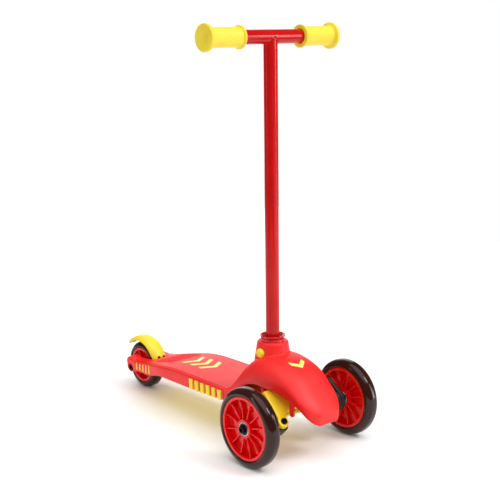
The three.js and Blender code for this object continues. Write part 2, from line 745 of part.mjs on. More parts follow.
function frontYoke() {
  const front = -eyeHalf - gap - plateThick;
  const rear = -front;
  const webReach = pivotX - legHalf;
  let body = join(yokePlate(front, -eyeHalf - gap), yokePlate(eyeHalf + gap, rear));
  const web = block(-webReach, webReach, -eyeHalf - sink, eyeHalf + sink, webLow, plateTop);
  const stops = [-1, 1].map((side) => {
    const x0 = Math.min(side * stopX, side * (stopX + stopThick));
    return block(x0, x0 + stopThick, -eyeHalf - sink, eyeHalf + sink, stopLow, stopHigh);
  });
  body = tilted(join(body, web, ...stops));
  const slab = block(-slabHalf, slabHalf, slabStart, slabEnd, slabTopZ - slabThick, slabTopZ);
  const rails = [-1, 1].map((side) => {
    const x0 = side > 0 ? slabHalf - railThick : -slabHalf;
    return block(x0, x0 + railThick, slabStart, noseRear, slabTopZ - slabThick - railHigh, slabTopZ);
  });
  const well = solid(rod(bushR, slabTopZ - slabThick * 3, slabTopZ + overrun, 20, "z")).translate([0, postY, 0]);
  // The slab stops short of the slot in which the tie rod swings.
  const wide = slabHalf * 2;
  const swing = tilted(block(-wide, wide, -eyeHalf - gap, eyeHalf + gap, -noseHeight, webLow));
  const overhang = tilted(block(-wide, wide, -noseHeight, -eyeHalf - gap, -noseHeight, noseHeight));
  const base = cut(join(slab, ...rails), well, swing, overhang);
  const holes = [];
  for (const side of [-1, 1]) {
    for (const [x, y] of yokeScrewPlaces(side)) {
      const hole = solid(rod(tapR + gap, slabTopZ - slabThick * 2, slabTopZ + overrun, 6, "z"));
      holes.push(hole.translate([x, y, 0]));
    }
    const bore = solid(rod(pivotR + gap, front - overrun, rear + overrun, 10, "y"));
    holes.push(tilted(bore.translate([side * pivotX, 0, 0])));
  }
  return cut(join(body, base), ...holes);
}

// Places of the screws under the slab, with their lengths.
const slabLowZ = slabTopZ - slabThick;
const yokeScrewPlaces = (side) => [
  ...noseBossYs.map((y) => [side * noseBossX, y, screwLong]),
  ...deckBossYs.map((y) => [side * deckBossX, y, deckTopAt(y) - wall / 2 - gap - slabLowZ]),
];

// A knuckle for the side where X is positive, in the tilted frame.
function knuckle(side) {
  const eye = solid(rod(eyeR, -eyeHalf, eyeHalf, 14, "y")).translate([pivotX, 0, 0]);
  const lug = { x: pivotX + armOut, z: armReach };
  const armShape = new THREE.Shape();
  armShape.moveTo(pivotX - eyeR * 0.7, eyeR * 0.5);
  armShape.lineTo(lug.x - lugR, lug.z);
  armShape.absarc(lug.x, lug.z, lugR, Math.PI, 0, true);
  armShape.lineTo(flangeX + sink, axleLocal.z + bossAxleR * 0.9);
  armShape.lineTo(flangeX + sink, axleLocal.z - bossAxleR * 0.6);
  armShape.lineTo(pivotX, -eyeR * 0.8);
  armShape.closePath();
  const arm = prism(armShape, -eyeHalf + gap, -gap, "y");
  const web = block(pivotX, flangeX + sink, -eyeHalf + gap, eyeHalf - gap, -eyeR * 0.3, axleLocal.z + sink);
  const boss = solid(rod(bossAxleR, bossStart, flangeX + flangeThick, 14, "x"));
  const bearingFace = trackHalf - bearingOut - bearingWidth - gap;
  const neck = solid(rod(neckR, flangeX, bearingFace, 10, "x"));
  const axis = [0, axleLocal.y, axleLocal.z];
  const flange = new THREE.Shape();
  const top = flangeTop - flangeTopR;
  const topY = axleLocal.y - flangeShift;
  flange.moveTo(axleLocal.y - flangeR, axleLocal.z);
  flange.absarc(axleLocal.y, axleLocal.z, flangeR, Math.PI, 0, false);
  flange.lineTo(topY + flangeTopR, top);
  flange.absarc(topY, top, flangeTopR, 0, Math.PI, false);
  flange.closePath();
  const plate = prism(flange, flangeX, flangeX + flangeThick, "x");
  const bore = solid(rod(boreR, bossStart - overrun, bearingFace + overrun, 10, "x")).translate(axis);
  const pivotBore = solid(rod(pivotR + gap, -eyeHalf - overrun, eyeHalf + overrun, 10, "y"));
  const pinBore = solid(rod(tieR + gap, -eyeHalf - overrun, overrun, 10, "y")).translate([lug.x, 0, lug.z]);
  const body = join(eye, arm, web, boss.translate(axis), neck.translate(axis), plate);
  const made = cut(body, bore, pivotBore.translate([pivotX, 0, 0]), pinBore);
  return tilted(side > 0 ? made : made.mirror([1, 0, 0]));
}

function tieRod() {
  const pinX = pivotX + armOut;
  const thick = eyeHalf - gap * 4;
  const shape = new THREE.Shape();
  shape.moveTo(-pinX, armReach + tieHalf);
  shape.absarc(-pinX, armReach, tieHalf, Math.PI / 2, 1.5 * Math.PI, false);
  shape.lineTo(-fingerHalf, armReach - tieHalf);
  shape.lineTo(-fingerHalf, fingerLow);
  shape.lineTo(fingerHalf, fingerLow);
  shape.lineTo(fingerHalf, armReach - tieHalf);
  shape.lineTo(pinX, armReach - tieHalf);
  shape.absarc(pinX, armReach, tieHalf, -Math.PI / 2, Math.PI / 2, false);
  shape.closePath();
  const body = prism(shape, 0, thick, "y");
  const bores = [-1, 1].map((side) => {
    const bore = solid(rod(tieR + gap, -overrun, thick + overrun, 10, "y"));
    return bore.translate([side * pinX, 0, armReach]);
  });
  return tilted(cut(body, ...bores));
}

const wireSides = 4;
// A coil that starts and ends square to what it pushes on, along X from the finger to a stop.
function coil(radius, wire, from, to, turns, perTurn) {
  const steps = turns * perTurn;
  const points = [];
  for (let i = 0; i <= steps; i++) {
    const share = i / steps;
    const angle = share * turns * 2 * Math.PI;
    points.push(new THREE.Vector3(mix(from + wire, to - wire, share), radius * Math.cos(angle), radius * Math.sin(angle)));
  }
  const path = new THREE.CatmullRomCurve3(points);
  const shape = new THREE.Shape();
  for (let i = 0; i < wireSides; i++) {
    const angle = (2 * Math.PI * i) / wireSides;
    const x = wire * Math.cos(angle);
    const y = wire * Math.sin(angle);
    if (i === 0) shape.moveTo(x, y);
    else shape.lineTo(x, y);
  }
  shape.closePath();
  return new THREE.ExtrudeGeometry(shape, { steps, bevelEnabled: false, extrudePath: path });
}

const pivotHeadR = 5.2;
const pivotHeadHigh = 3.4;
const springY = 3;
const brakeWire = 0.55;

// The steering pivot: its head lies on the front plate, its thread ends in a nut behind the rear plate.
function pivotBolt() {
  const front = -eyeHalf - gap - plateThick - gap;
  const end = -front + boltNutHigh + gap * 3;
  const socketR = pivotHeadR * 0.45;
  return turned([
    [0, front - pivotHeadHigh * 0.5], [socketR, front - pivotHeadHigh], [pivotHeadR * 0.8, front - pivotHeadHigh],
    [pivotHeadR, front - pivotHeadHigh * 0.6], [pivotHeadR, front], [pivotR, front], [pivotR, end], [0, end],
  ], 10, "y");
}

const boltNutHigh = 4.4;
const nutR = 5.8;
const pivotNut = () => {
  const face = eyeHalf + gap + plateThick + gap;
  return hexNut(nutR, pivotR + gap, face, face + boltNutHigh, "y");
};

const tieHeadR = 4.6;
const tieHeadHigh = 0.8;
function tiePin() {
  const rear = eyeHalf - gap * 3;
  return turned([
    [0, -eyeHalf + gap * 2], [tieR, -eyeHalf + gap * 2], [tieR, rear], [tieHeadR, rear],
    [tieHeadR, rear + tieHeadHigh], [0, rear + tieHeadHigh],
  ], 10, "y");
}

function rearBolt() {
  const seat = armHalf - recessDepth + gap;
  const high = recessDepth - gap * 2;
  const socketR = boltHeadR * 0.5;
  return turned([
    [0, -seat - high * 0.5], [socketR, -seat - high], [boltHeadR * 0.85, -seat - high],
    [boltHeadR, -seat - high * 0.7], [boltHeadR, -seat], [axleR, -seat], [axleR, armHalf - gap], [0, armHalf - gap],
  ], 10, "x");
}

// Wheels, about X, their middle at the origin
const tyreCorner = 10.5;
const frontRimR = 50.65;
const rearRimR = 32.5;
const hubHalf = 11.6;
const rimThick = 4.6;
const webHalf = 2.4;
const frontHubBossR = 15;
const rearHubBossR = 14.5;
const bladeThick = 1.9;
const bladeCount = 12;
const rearBladeCount = 6;
const cornerSteps = 3;

function tyre(outerR, rimR, sides) {
  const half = tyreWidth / 2;
  const corner = Math.min(tyreCorner, (outerR - rimR) * 0.85);
  const profile = [[rimR + gap, -half + draft * 1.2], [outerR - corner, -half]];
  for (let i = 1; i <= cornerSteps; i++) {
    const a = ((Math.PI / 2) * i) / cornerSteps;
    profile.push([outerR - corner + corner * Math.sin(a), -half + corner - corner * Math.cos(a)]);
  }
  const right = profile.map(([r, x]) => [r, -x]).reverse();
  const all = [...profile, ...right, profile[0]];
  return turned(all, sides, "x");
}

function hub(rimR, bossR, blades, sides) {
  const inset = rimR - rimThick;
  const rim = solid(ring(inset, rimR, -hubHalf, hubHalf, sides, "x"));
  const web = solid(ring(bossR - sink, inset + sink, -webHalf, webHalf, sides, "x"));
  const boss = solid(rod(bossR, -hubHalf, hubHalf, 12, "x"));
  const inner = bossR - sink;
  const outer = inset + sink;
  const edge = hubHalf - draft * 1.5;
  const outline = [[-edge, inner], [-edge, outer], [edge, outer], [edge, inner]];
  const list = [];
  for (let k = 0; k < blades; k++) {
    const blade = prism(outline, -bladeThick / 2, bladeThick / 2, "y");
    list.push(blade.rotate([(360 * k) / blades + 180 / blades, 0, 0]));
  }
  const body = join(rim, web, boss, ...list);
  const bore = solid(rod(spacerR + gap * 2, -hubHalf * 2, hubHalf * 2, 10, "x"));
  const seats = [-1, 1].map((side) => {
    const from = bearingOut - gap;
    const to = hubHalf + overrun;
    return solid(rod(bearingR + gap, Math.min(side * from, side * to), Math.max(side * from, side * to), 10, "x"));
  });
  return cut(body, bore, ...seats);
}

// Its shield lies back from the outer ring's face.
function bearing() {
  const half = bearingWidth / 2;
  const shield = half - gap * 1.5;
  const race = bearingR - (bearingR - axleR) * 0.24;
  return turned([
    [axleR + gap, -half], [bearingR, -half], [bearingR, half], [race, half], [race, shield], [axleR + gap, shield],
    [axleR + gap, -half],
  ], 10, "x");
}

const wheelSpacer = () => ring(axleR + gap, spacerR, -bearingOut + gap, bearingOut - gap, 10, "x");

// A bolt along X whose head lies at the far end.
const boltHeadR = 6.4;
const boltHeadHigh = 5;
function boltAlong(from, to) {
  const way = Math.sign(to - from);
  const socketR = boltHeadR * 0.5;
  const profile = [
    [0, from], [axleR, from], [axleR, to], [boltHeadR, to], [boltHeadR, to + way * boltHeadHigh * 0.7],
    [boltHeadR * 0.8, to + way * boltHeadHigh], [socketR, to + way * boltHeadHigh],
    [0, to + way * boltHeadHigh * 0.45],
  ];
  return turned(way > 0 ? profile : [...profile].reverse(), 10, "x");
}

function hexNut(cornerR, boreHole, from, to, axis) {
  const body = solid(rod(cornerR, from, to, 6, axis));
  return cut(body, solid(rod(boreHole, from - overrun, to + overrun, 10, axis)));
}

// Handlebar
const postFoot = socketFloorZ + socketWall + gap;
const snapHoleR = 3.8;
const gripLength = 70;
const gripFlangeR = 21;
const gripInnerFlangeR = 18.1;
const gripR = 15.6;
const gripWaistR = 15;
const flangeLong = 5;
const gripEnd = 3; // thickness of the closed end

function tBar() {
  const post = cut(
    solid(ring(tubeR - tubeWall, tubeR, postFoot, barZ, 16, "z")),
    solid(rod(tubeR - tubeWall / 2, -barHalf, barHalf, 16, "x")).translate([0, 0, barZ]),
  );
  const barEnd = barHalf - gripEnd - gap;
  const bar = solid(ring(tubeR - tubeWall, tubeR, -barEnd, barEnd, 16, "x")).translate([0, 0, barZ]);
  const trimmed = post.intersect(block(-tubeR * 2, tubeR * 2, -tubeR * 2, tubeR * 2, 0, barZ));
  const hole = solid(rod(snapHoleR, -tubeR - overrun, 0, 10, "x")).translate([0, 0, buttonZ]);
  return cut(join(trimmed, bar), hole).translate([0, postY, 0]);
}

// A grip from its inner flange to its closed end, for the side where X is positive.
function grip() {
  const bore = tubeR + gap;
  const x0 = barHalf - gripLength;
  const x1 = barHalf;
  const profile = [
    [bore, x0], [gripInnerFlangeR, x0], [gripInnerFlangeR, x0 + flangeLong * 0.7], [gripR, x0 + flangeLong],
    [gripWaistR, x0 + gripLength * 0.35], [gripR, x0 + gripLength * 0.65], [gripR, x1 - flangeLong * 1.6],
    [gripFlangeR, x1 - flangeLong], [gripFlangeR * 0.97, x1],
    [0, x1], [0, x1 - gripEnd], [bore, x1 - gripEnd], [bore, x0],
  ];
  return turned(profile, 16, "x");
}

// The flared ring round the post and the sleeve below it, one piece.
const ringR = 20.8;
const ringHigh = 9.6;
function handleSocket() {
  const bore = tubeR + gap;
  const low = collarTopZ + gap;
  const profile = [
    [bore, postFoot], [bushR, postFoot], [bushR, low], [ringR * 0.93, low], [ringR * 0.9, low + ringHigh * 0.3],
    [ringR, low + ringHigh * 0.85], [ringR * 0.95, low + ringHigh], [mix(bore, ringR, 0.3), low + ringHigh * 0.5],
    [bore, low + ringHigh * 0.4], [bore, postFoot],
  ];
  const body = solid(turned(profile, 16, "z"));
  const hole = solid(rod(snapHoleR, -bushR - overrun, 0, 10, "x")).translate([0, 0, buttonZ]);
  return cut(body, hole).translate([0, postY, 0]);
}

const pinTip = bushR - gap * 4; // outer end of the snap pin from the post's axis
const snapR = 3.4;
const snapThick = 1;
const snapLeg = 34;
const snapHalfWide = 3.6;
const stemR = 2.9;
const headBack = 21.5;
const headFace = 27.7;
const domeHigh = 4.3;

function releaseButton() {
  const tip = pinTip + gap;
  return solid(turned([
    [0, -headFace - domeHigh], [buttonR * 0.6, -headFace - domeHigh * 0.75],
    [buttonR, -headFace], [buttonR, -headBack], [stemR, -headBack], [stemR, -tip], [0, -tip],
  ], 12, "x")).translate([0, postY, buttonZ]);
}

function snapSpring() {
  const inside = tubeR - tubeWall - gap;
  const shape = new THREE.Shape();
  const top = buttonZ + snapR * 2;
  const bend = buttonZ - snapLeg + inside;
  shape.moveTo(-inside, top);
  shape.lineTo(-inside, bend);
  shape.absarc(0, bend, inside, Math.PI, 2 * Math.PI, false);
  shape.lineTo(inside, top);
  shape.lineTo(inside - snapThick, top);
  shape.lineTo(inside - snapThick, bend);
  shape.absarc(0, bend, inside - snapThick, 2 * Math.PI, Math.PI, true);
  shape.lineTo(-inside + snapThick, top);
  shape.closePath();
  // The strip is narrower than the tube, so its flat back clears the round wall.
  const strip = prism(shape, -snapHalfWide, snapHalfWide, "y").intersect(
    solid(rod(inside, buttonZ - snapLeg, top, 10, "z")),
  );
  const pin = solid(rod(snapR, -pinTip, -inside + snapThick, 8, "x")).translate([0, 0, buttonZ]);
  return join(strip, pin).translate([0, postY, 0]);
}

// Brake fender: sections square to the wheel's rim, from the front foot over the wheel to the rear tip.
const fenderThick = 2.6;
const fenderFoot = (162 * Math.PI) / 180;
const fenderTip = (33 * Math.PI) / 180;
const fenderRearR = 59;
const fenderFootR = 54;
const fenderHalf = 15.6;
const fenderSteps = 10;
const sectionSteps = 3;
const fenderRadiusShares = [[0, 0], [0.2, 0.45], [0.5, 0.8], [1, 1]];
const fenderDropShares = [[0, 0.15], [0.25, 0.6], [0.5, 0.85], [0.75, 1], [1, 1]];
const fenderWidthShares = [[0, 0.42], [0.05, 0.66], [0.14, 0.82], [0.3, 0.93], [0.5, 1], [0.8, 0.98], [1, 0.92]];
const fenderDrop = 10;

function fenderSection(t) {
  const angle = mix(fenderTip, fenderFoot, t);
  const outerR = mix(fenderRearR, fenderFootR, along(fenderRadiusShares, t));
  const drop = fenderDrop * along(fenderDropShares, t);
  const half = fenderHalf * along(fenderWidthShares, t);
  const at = (x, r) =>
    new THREE.Vector3(x, wheelBase + r * Math.cos(angle), rearWheelR + r * Math.sin(angle));
  const curve = (share, depth) => {
    const a = (Math.PI / 2) * share;
    return [(half - depth) * Math.sin(a), outerR - depth - drop * (1 - Math.cos(a))];
  };
  return { at, curve };
}

function fenderLoop(t, fill) {
  const { at, curve } = fenderSection(t);
  const points = [];
  for (let i = -sectionSteps; i <= sectionSteps; i++) {
    const [x, r] = curve(i / sectionSteps, fill);
    points.push(at(x, r));
  }
  if (fill > 0) {
    const [x, r] = curve(1, fill);
    points.push(at(x, r - fenderHalf), at(-x, r - fenderHalf));
    return points;
  }
  for (let i = sectionSteps; i >= -sectionSteps; i--) {
    const [x, r] = curve(i / sectionSteps, fenderThick);
    points.push(at(x, r));
  }
  return points;
}

const brakeScrewX = 5.2;
const brakeScrewZ = rearWheelR + pinDrop + 9;
const brakeScrewLong = 7;
const brakeScrewR = 1.4;
const brakeHeadR = 2.8;
const barrelR = 3.4;
const barrelHalf = 10;
const plateHalf = 9;
const coilHalf = 3.6;
const brakePinY = wheelBase - pinAhead;
const brakePinZ = rearWheelR + pinDrop;

function rearFender() {
  const loops = [];
  for (let i = 0; i <= fenderSteps; i++) loops.push(fenderLoop(i / fenderSteps, 0));
  const pinRoom = solid(rod(barrelR + gap, -slotHalf, slotHalf, 12, "x")).translate([0, brakePinY, brakePinZ]);
  return cut(loft(loops), pinRoom, ...[-1, 1].map((side) => brakeScrewHole(side)));
}

const brakeScrewShare = 0.92; // along the fender
const brakeFace = (() => {
  const { at, curve } = fenderSection(brakeScrewShare);
  const share = brakeScrewX / fenderHalf;
  const [x, r] = curve((Math.asin(share) * 2) / Math.PI, 0);
  return at(x, r).y;
})();

const brakeScrewHole = (side) =>
  solid(rod(brakeScrewR + gap, -fenderFootR, brakeScrewLong + gap, 8, "y")).translate([side * brakeScrewX, brakeFace, brakeScrewZ]);

function brakeScrew(side) {
  const head = -draft;
  return solid(turned([
    [0, head - screwHeadHigh], [brakeHeadR * 0.75, head - screwHeadHigh],
    [brakeHeadR, head], [brakeScrewR, head], [brakeScrewR, brakeScrewLong], [0, brakeScrewLong],
  ], 10, "y")).translate([side * brakeScrewX, brakeFace, brakeScrewZ]);
}

function brakeBracket() {
  const fill = [];
  for (let i = 0; i <= fenderSteps; i++) fill.push(fenderLoop(i / fenderSteps, fenderThick + gap));
  const high = brakeScrewZ + brakeHeadR * 2;
  const front = block(-plateHalf, plateHalf, brakePinY - fenderHalf, brakePinY + barrelR, brakePinZ, high);
  const plate = front.intersect(loft(fill));
  const barrel = solid(rod(barrelR, -barrelHalf, barrelHalf, 12, "x")).translate([0, brakePinY, brakePinZ]);
  const room = solid(rod(barrelR + gap * 2, -coilHalf - gap, coilHalf + gap, 12, "x")).translate([0, brakePinY, brakePinZ]);
  const bore = solid(rod(pinR + axleGap, -barrelHalf * 2, barrelHalf * 2, 10, "x")).translate([0, brakePinY, brakePinZ]);
  return cut(join(plate, barrel), room, bore, ...[-1, 1].map((side) => brakeScrewHole(side)));
}

const group = new THREE.Group();
const looks = {
  redShell: { color: 0xe8353a, roughness: 0.5, metalness: 0 },
  redGloss: { color: 0xb3141a, roughness: 0.18, metalness: 0.1 },
  redHub: { color: 0xc4060c, roughness: 0.15, metalness: 0 },
  yellow: { color: 0xf2e04a, roughness: 0.5, metalness: 0 },
  black: { color: 0x1b1a1c, roughness: 0.45, metalness: 0 },
  smoke: { color: 0x2c1a18, roughness: 0.15, metalness: 0 },
  steel: { color: 0xb9bcc0, roughness: 0.3, metalness: 1 },
};

function place(name, shape, look, holder = group) {
  const geometry = shape.isBufferGeometry ? shape : geometryOf(shape);
  const mesh = new THREE.Mesh(geometry, new THREE.MeshStandardMaterial(looks[look]));
  mesh.name = name;
  holder.add(mesh);
  return mesh;
}

// Body
place("nose_housing", noseHousing(), "redShell");
place("deck_top", deckTop(), "redShell");
place("under_tray", underTray(), "yellow");
place("front_yoke", frontYoke(), "yellow");
place("handle_socket", handleSocket(), "redGloss");
place("release_button", releaseButton(), "yellow");
const buttonCoil = coil(stemR + gap * 2 + 0.5, 0.5, -headBack, -bushR - gap, 3, 6);
place("button_spring", buttonCoil, "steel").position.set(0, postY, buttonZ);

let screwNumber = 0;
for (const side of [-1, 1])
  for (const [x, y, long] of yokeScrewPlaces(side)) {
    screwNumber += 1;
    const screw = panScrew(screwHeadR, screwHeadHigh, tapR, long, 6);
    place(`yoke_screw_${screwNumber}`, screw, "black").position.set(x, y, slabLowZ - gap);
  }
screwNumber = 0;
for (const side of [-1, 1])
  for (const y of trayScrewYs) {
    screwNumber += 1;
    const screw = panScrew(screwHeadR, screwHeadHigh, tapR, screwLong, 6);
    const x = side * (deckHalfAt(y) - sideScrewIn);
    place(`tray_screw_${screwNumber}`, screw, "black").position.set(x, y, deckLowAt(y + screwHeadR));
  }

// Handlebar
place("t_bar", tBar(), "redGloss");
place("snap_spring", snapSpring(), "steel");
for (const [name, turn] of [["grip_left", 0], ["grip_right", Math.PI]]) {
  const mesh = place(name, grip(), "yellow");
  mesh.position.set(0, postY, barZ);
  mesh.rotation.z = turn;
}

// Steering and front wheels; the tilted group carries what lies along the pivots.
const steering = new THREE.Group();
steering.position.set(0, pivotY, pivotZ);
steering.rotation.x = -tilt;
group.add(steering);
place("tie_rod", tieRod(), "black");
for (const [side, word] of [[1, "left"], [-1, "right"]]) {
  place(`knuckle_${word}`, knuckle(side), "black");
  place(`pivot_bolt_${word}`, pivotBolt(), "black", steering).position.x = side * pivotX;
  place(`pivot_nut_${word}`, pivotNut(), "steel", steering).position.x = side * pivotX;
  place(`tie_pin_${word}`, tiePin(), "steel", steering).position.set(side * (pivotX + armOut), 0, armReach);
  const spring = coil(springR, springWire, fingerHalf + gap, stopX - gap, springTurns, 6);
  const springMesh = place(`centring_spring_${word}`, spring, "steel", steering);
  springMesh.position.set(0, springY, springZ);
  springMesh.rotation.z = side > 0 ? 0 : Math.PI;
  const face = bearingOut + bearingWidth + gap;
  const bolt = boltAlong(bossStart + gap, trackHalf + face);
  const boltMesh = place(`front_axle_bolt_${word}`, bolt, "black");
  boltMesh.position.z = frontWheelR;
  boltMesh.rotation.z = side > 0 ? 0 : Math.PI;
  const wheel = new THREE.Group();
  wheel.position.set(side * trackHalf, 0, frontWheelR);
  group.add(wheel);
  place(`front_tyre_${word}`, tyre(frontWheelR, frontRimR, 24), "smoke", wheel);
  place(`front_hub_${word}`, hub(frontRimR, frontHubBossR, bladeCount, 24), "redHub", wheel);
  place(`front_spacer_${word}`, wheelSpacer(), "steel", wheel);
  for (const [way, end] of [[1, "outer"], [-1, "inner"]]) {
    const mesh = place(`front_bearing_${word}_${end}`, bearing(), "steel", wheel);
    mesh.position.x = side * way * (bearingOut + bearingWidth / 2);
  }
}

// Rear wheel
const rearWheel = new THREE.Group();
rearWheel.position.set(0, wheelBase, rearWheelR);
group.add(rearWheel);
place("rear_tyre", tyre(rearWheelR, rearRimR, 20), "smoke", rearWheel);
place("rear_hub", hub(rearRimR, rearHubBossR, rearBladeCount, 20), "redHub", rearWheel);
place("rear_spacer", wheelSpacer(), "steel", rearWheel);
for (const [side, word] of [[1, "left"], [-1, "right"]])
  place(`rear_bearing_${word}`, bearing(), "steel", rearWheel).position.x = side * (bearingOut + bearingWidth / 2);
const seat = armHalf - recessDepth + gap;
place("rear_axle_bolt", rearBolt(), "black", rearWheel);
place("rear_axle_nut", hexNut(boltHeadR, axleR + gap, seat, armHalf - gap, "x"), "black", rearWheel);

// Brake
place("rear_fender", rearFender(), "yellow");
place("brake_bracket", brakeBracket(), "black");
for (const [side, word] of [[1, "left"], [-1, "right"]]) place(`brake_screw_${word}`, brakeScrew(side), "black");
const pinEnd = slotHalf + wall - gap;
place("brake_pin", rod(pinR, -pinEnd, pinEnd, 10, "x"), "steel").position.set(0, brakePinY, brakePinZ);
const brakeCoil = coil(pinR + gap * 2 + brakeWire, brakeWire, -coilHalf, coilHalf, 3, 6);
place("brake_spring", brakeCoil, "steel").position.set(0, brakePinY, brakePinZ);

// The whole stands centred on the origin between its front and its rear end.
const rearEnd = wheelBase + fenderRearR * Math.cos(fenderTip);
group.position.y = -(noseFront + rearEnd) / 2;
const scooter = new THREE.Group();
scooter.add(group);

export default scooter;
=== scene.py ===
"""Finished look of a three wheel kids scooter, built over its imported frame.

Sizes are millimetres in a working frame whose Y = 0 is the front axle, the front points to -Y and the
rider's left is +X. The function metres turns them into Blender's metres in the frame's own place.
"""

import logging
import math
from collections.abc import Callable, Sequence
from dataclasses import dataclass
from enum import Enum

import bmesh
import bpy
from mathutils import Matrix, Vector


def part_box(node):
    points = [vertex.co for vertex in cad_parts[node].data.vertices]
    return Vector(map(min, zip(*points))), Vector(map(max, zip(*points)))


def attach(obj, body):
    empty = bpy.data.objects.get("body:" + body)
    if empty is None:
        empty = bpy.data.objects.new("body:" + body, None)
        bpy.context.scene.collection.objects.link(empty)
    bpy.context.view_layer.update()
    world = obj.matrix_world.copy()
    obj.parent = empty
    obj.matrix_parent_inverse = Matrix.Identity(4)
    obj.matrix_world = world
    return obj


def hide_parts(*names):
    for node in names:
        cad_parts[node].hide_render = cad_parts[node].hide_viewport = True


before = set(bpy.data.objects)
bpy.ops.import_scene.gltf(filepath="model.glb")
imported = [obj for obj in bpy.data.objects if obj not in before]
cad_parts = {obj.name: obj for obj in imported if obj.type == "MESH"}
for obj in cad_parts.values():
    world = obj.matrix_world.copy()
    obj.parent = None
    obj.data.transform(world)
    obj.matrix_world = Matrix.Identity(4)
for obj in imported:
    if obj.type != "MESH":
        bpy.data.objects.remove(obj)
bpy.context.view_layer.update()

log = logging.getLogger("scooter")
Object = bpy.types.Object
Flat = tuple[float, float]
Spot = tuple[float, float, float]
Rows = tuple[Flat, ...]

# Sizes that several pieces share
GAP = 0.3  # working clearance between pieces
FRONT_R = 63.5  # radius of the front wheels
REAR_R = 43.5  # radius of the rear wheel
TRACK_HALF = 106.5
WHEEL_BASE = 425
POST_Y = 64
BRAKE_PIN: Flat = (379, 58)  # the fender's hinge in Y and Z
SLAB_HALF = 37  # half width of the yoke's slab under the hood
SLAB_TOP = 78
NOSE_SCREWS: Rows = ((29, 54), (29, 100))  # X and Y of the screws from the slab into the hood
DECK_SCREW: Flat = (20, 140)  # X and Y of the screws into the deck
SCREW_POST_R = 4.6
SCREW_CORE_R = 2.2
AXLE_BORE_R = 4.35
BUTTON_BORE_R = 3.8
NUT_FACE_SHARE = 0.87  # radius of a nut's face, of that to its corners
NUT_ROOM_SHARE = 1.02  # radius of the cone that chamfers it
NUT_CHAMFER = 0.8
AXLE_Y = sum(corner.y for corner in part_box("front_tyre_left")) / 2  # in the frame, in metres

# Sizes of the modelling steps
SEED_R = 0.01  # the circle that an outline starts from, in metres
MERGE = 1e-6  # points nearer than this are merged, in metres
MIDDLE = 1e-6  # points of a section nearer to the middle than this lie on it
POST_STEPS = 24  # facets round a screw post
SCREW_STEPS = 20  # round a screw's hole
HOLE_STEPS = 32  # round a larger hole


def metres(point: Sequence[float]) -> Vector:
    """Turn a point of the working frame into metres."""
    return Vector((point[0] / 1000, point[1] / 1000 + AXLE_Y, point[2] / 1000))


def mix(low: float, high: float, share: float) -> float:
    """Blend two values."""
    return low + (high - low) * share


def smooth(share: float) -> float:
    """Ease a share from 0 to 1."""
    held = min(max(share, 0.0), 1.0)
    return held * held * (3 - 2 * held)


def spread(start: float, end: float, count: int) -> list[float]:
    """Give count + 1 even steps from start to end."""
    return [mix(start, end, i / count) for i in range(count + 1)]


def along(rows: Rows, share: float) -> float:
    """Read a curve through rows of (place share, value share), eased between the rows.

    Args:
        rows: The curve's points in rising order.
        share: The place to read.

    Returns:
        The value share at that place.
    """
    last = len(rows) - 1
    if share <= rows[0][0]:
        return rows[0][1]
    if share >= rows[last][0]:
        return rows[last][1]

    def slope(i: int) -> float:
        """Slope of the curve at a row."""
        before, after = rows[max(i - 1, 0)], rows[min(i + 1, last)]
        return (after[1] - before[1]) / (after[0] - before[0])

    i = next(k for k in range(last) if share <= rows[k + 1][0])
    (t0, v0), (t1, v1) = rows[i], rows[i + 1]
    span = t1 - t0
    u = (share - t0) / span
    rise, ease = u * u * (3 - 2 * u), u * (1 - u)
    return mix(v0, v1, rise) + span * ease * ((1 - u) * slope(i) - u * slope(i + 1))


def arc(centre: Flat, radius: float, start: float, end: float, steps: int) -> list[Flat]:
    """Give the points of an arc.

    Args:
        centre: Middle of the arc.
        radius: Its radius.
        start: First angle in degrees.
        end: Last angle in degrees.
        steps: How many chords it has.

    Returns:
        Its points in order.
    """
    angles = [math.radians(a) for a in spread(start, end, steps)]
    return [(centre[0] + radius * math.cos(a), centre[1] + radius * math.sin(a)) for a in angles]


class Way(Enum):
    """The way that an axis points: along, and out from it."""

    X = ((1, 0, 0), (0, 0, -1))
    Y = ((0, 1, 0), (0, 0, -1))
    Z = ((0, 0, 1), (0, -1, 0))


class Blend(Enum):
    """How two solids are combined."""

    JOIN = "UNION"
    CUT = "DIFFERENCE"
    KEEP = "INTERSECT"


# Modelling steps


def pick(*objects: Object) -> None:
    """Select only these objects and make the first one active."""
    bpy.ops.object.select_all(action="DESELECT")
    for one in objects:
        one.select_set(True)
    if objects:
        bpy.context.view_layer.objects.active = objects[0]


def outline(points: Sequence[Spot], fill: str) -> Object:
    """Add a circle and move its points to an outline.

    Args:
        points: Places in the working frame.
        fill: NGON for a face, NOTHING for a bare loop.

    Returns:
        The new object.
    """
    pick()
    bpy.ops.mesh.primitive_circle_add(vertices=len(points), radius=SEED_R, fill_type=fill)
    made = bpy.context.object
    for vertex, point in zip(made.data.vertices, points):
        vertex.co = metres(point)
    return made


def loft(loops: Sequence[Sequence[Spot]]) -> Object:
    """Extrude an outline through further loops of as many points.

    Args:
        loops: The loops in order.

    Returns:
        A closed solid.
    """
    made = outline(loops[0], "NGON")
    bpy.ops.object.mode_set(mode="EDIT")
    bpy.ops.mesh.select_mode(type="FACE")
    bpy.ops.mesh.select_all(action="SELECT")
    for loop in loops[1:]:
        bpy.ops.mesh.extrude_region_move()
        mesh = bmesh.from_edit_mesh(made.data)
        cap = next(face for face in mesh.faces if face.select)
        for corner, point in zip(cap.verts, loop):
            corner.co = metres(point)
        bmesh.update_edit_mesh(made.data)
    bpy.ops.mesh.select_all(action="SELECT")
    bpy.ops.mesh.normals_make_consistent(inside=False)
    bpy.ops.object.mode_set(mode="OBJECT")
    return made


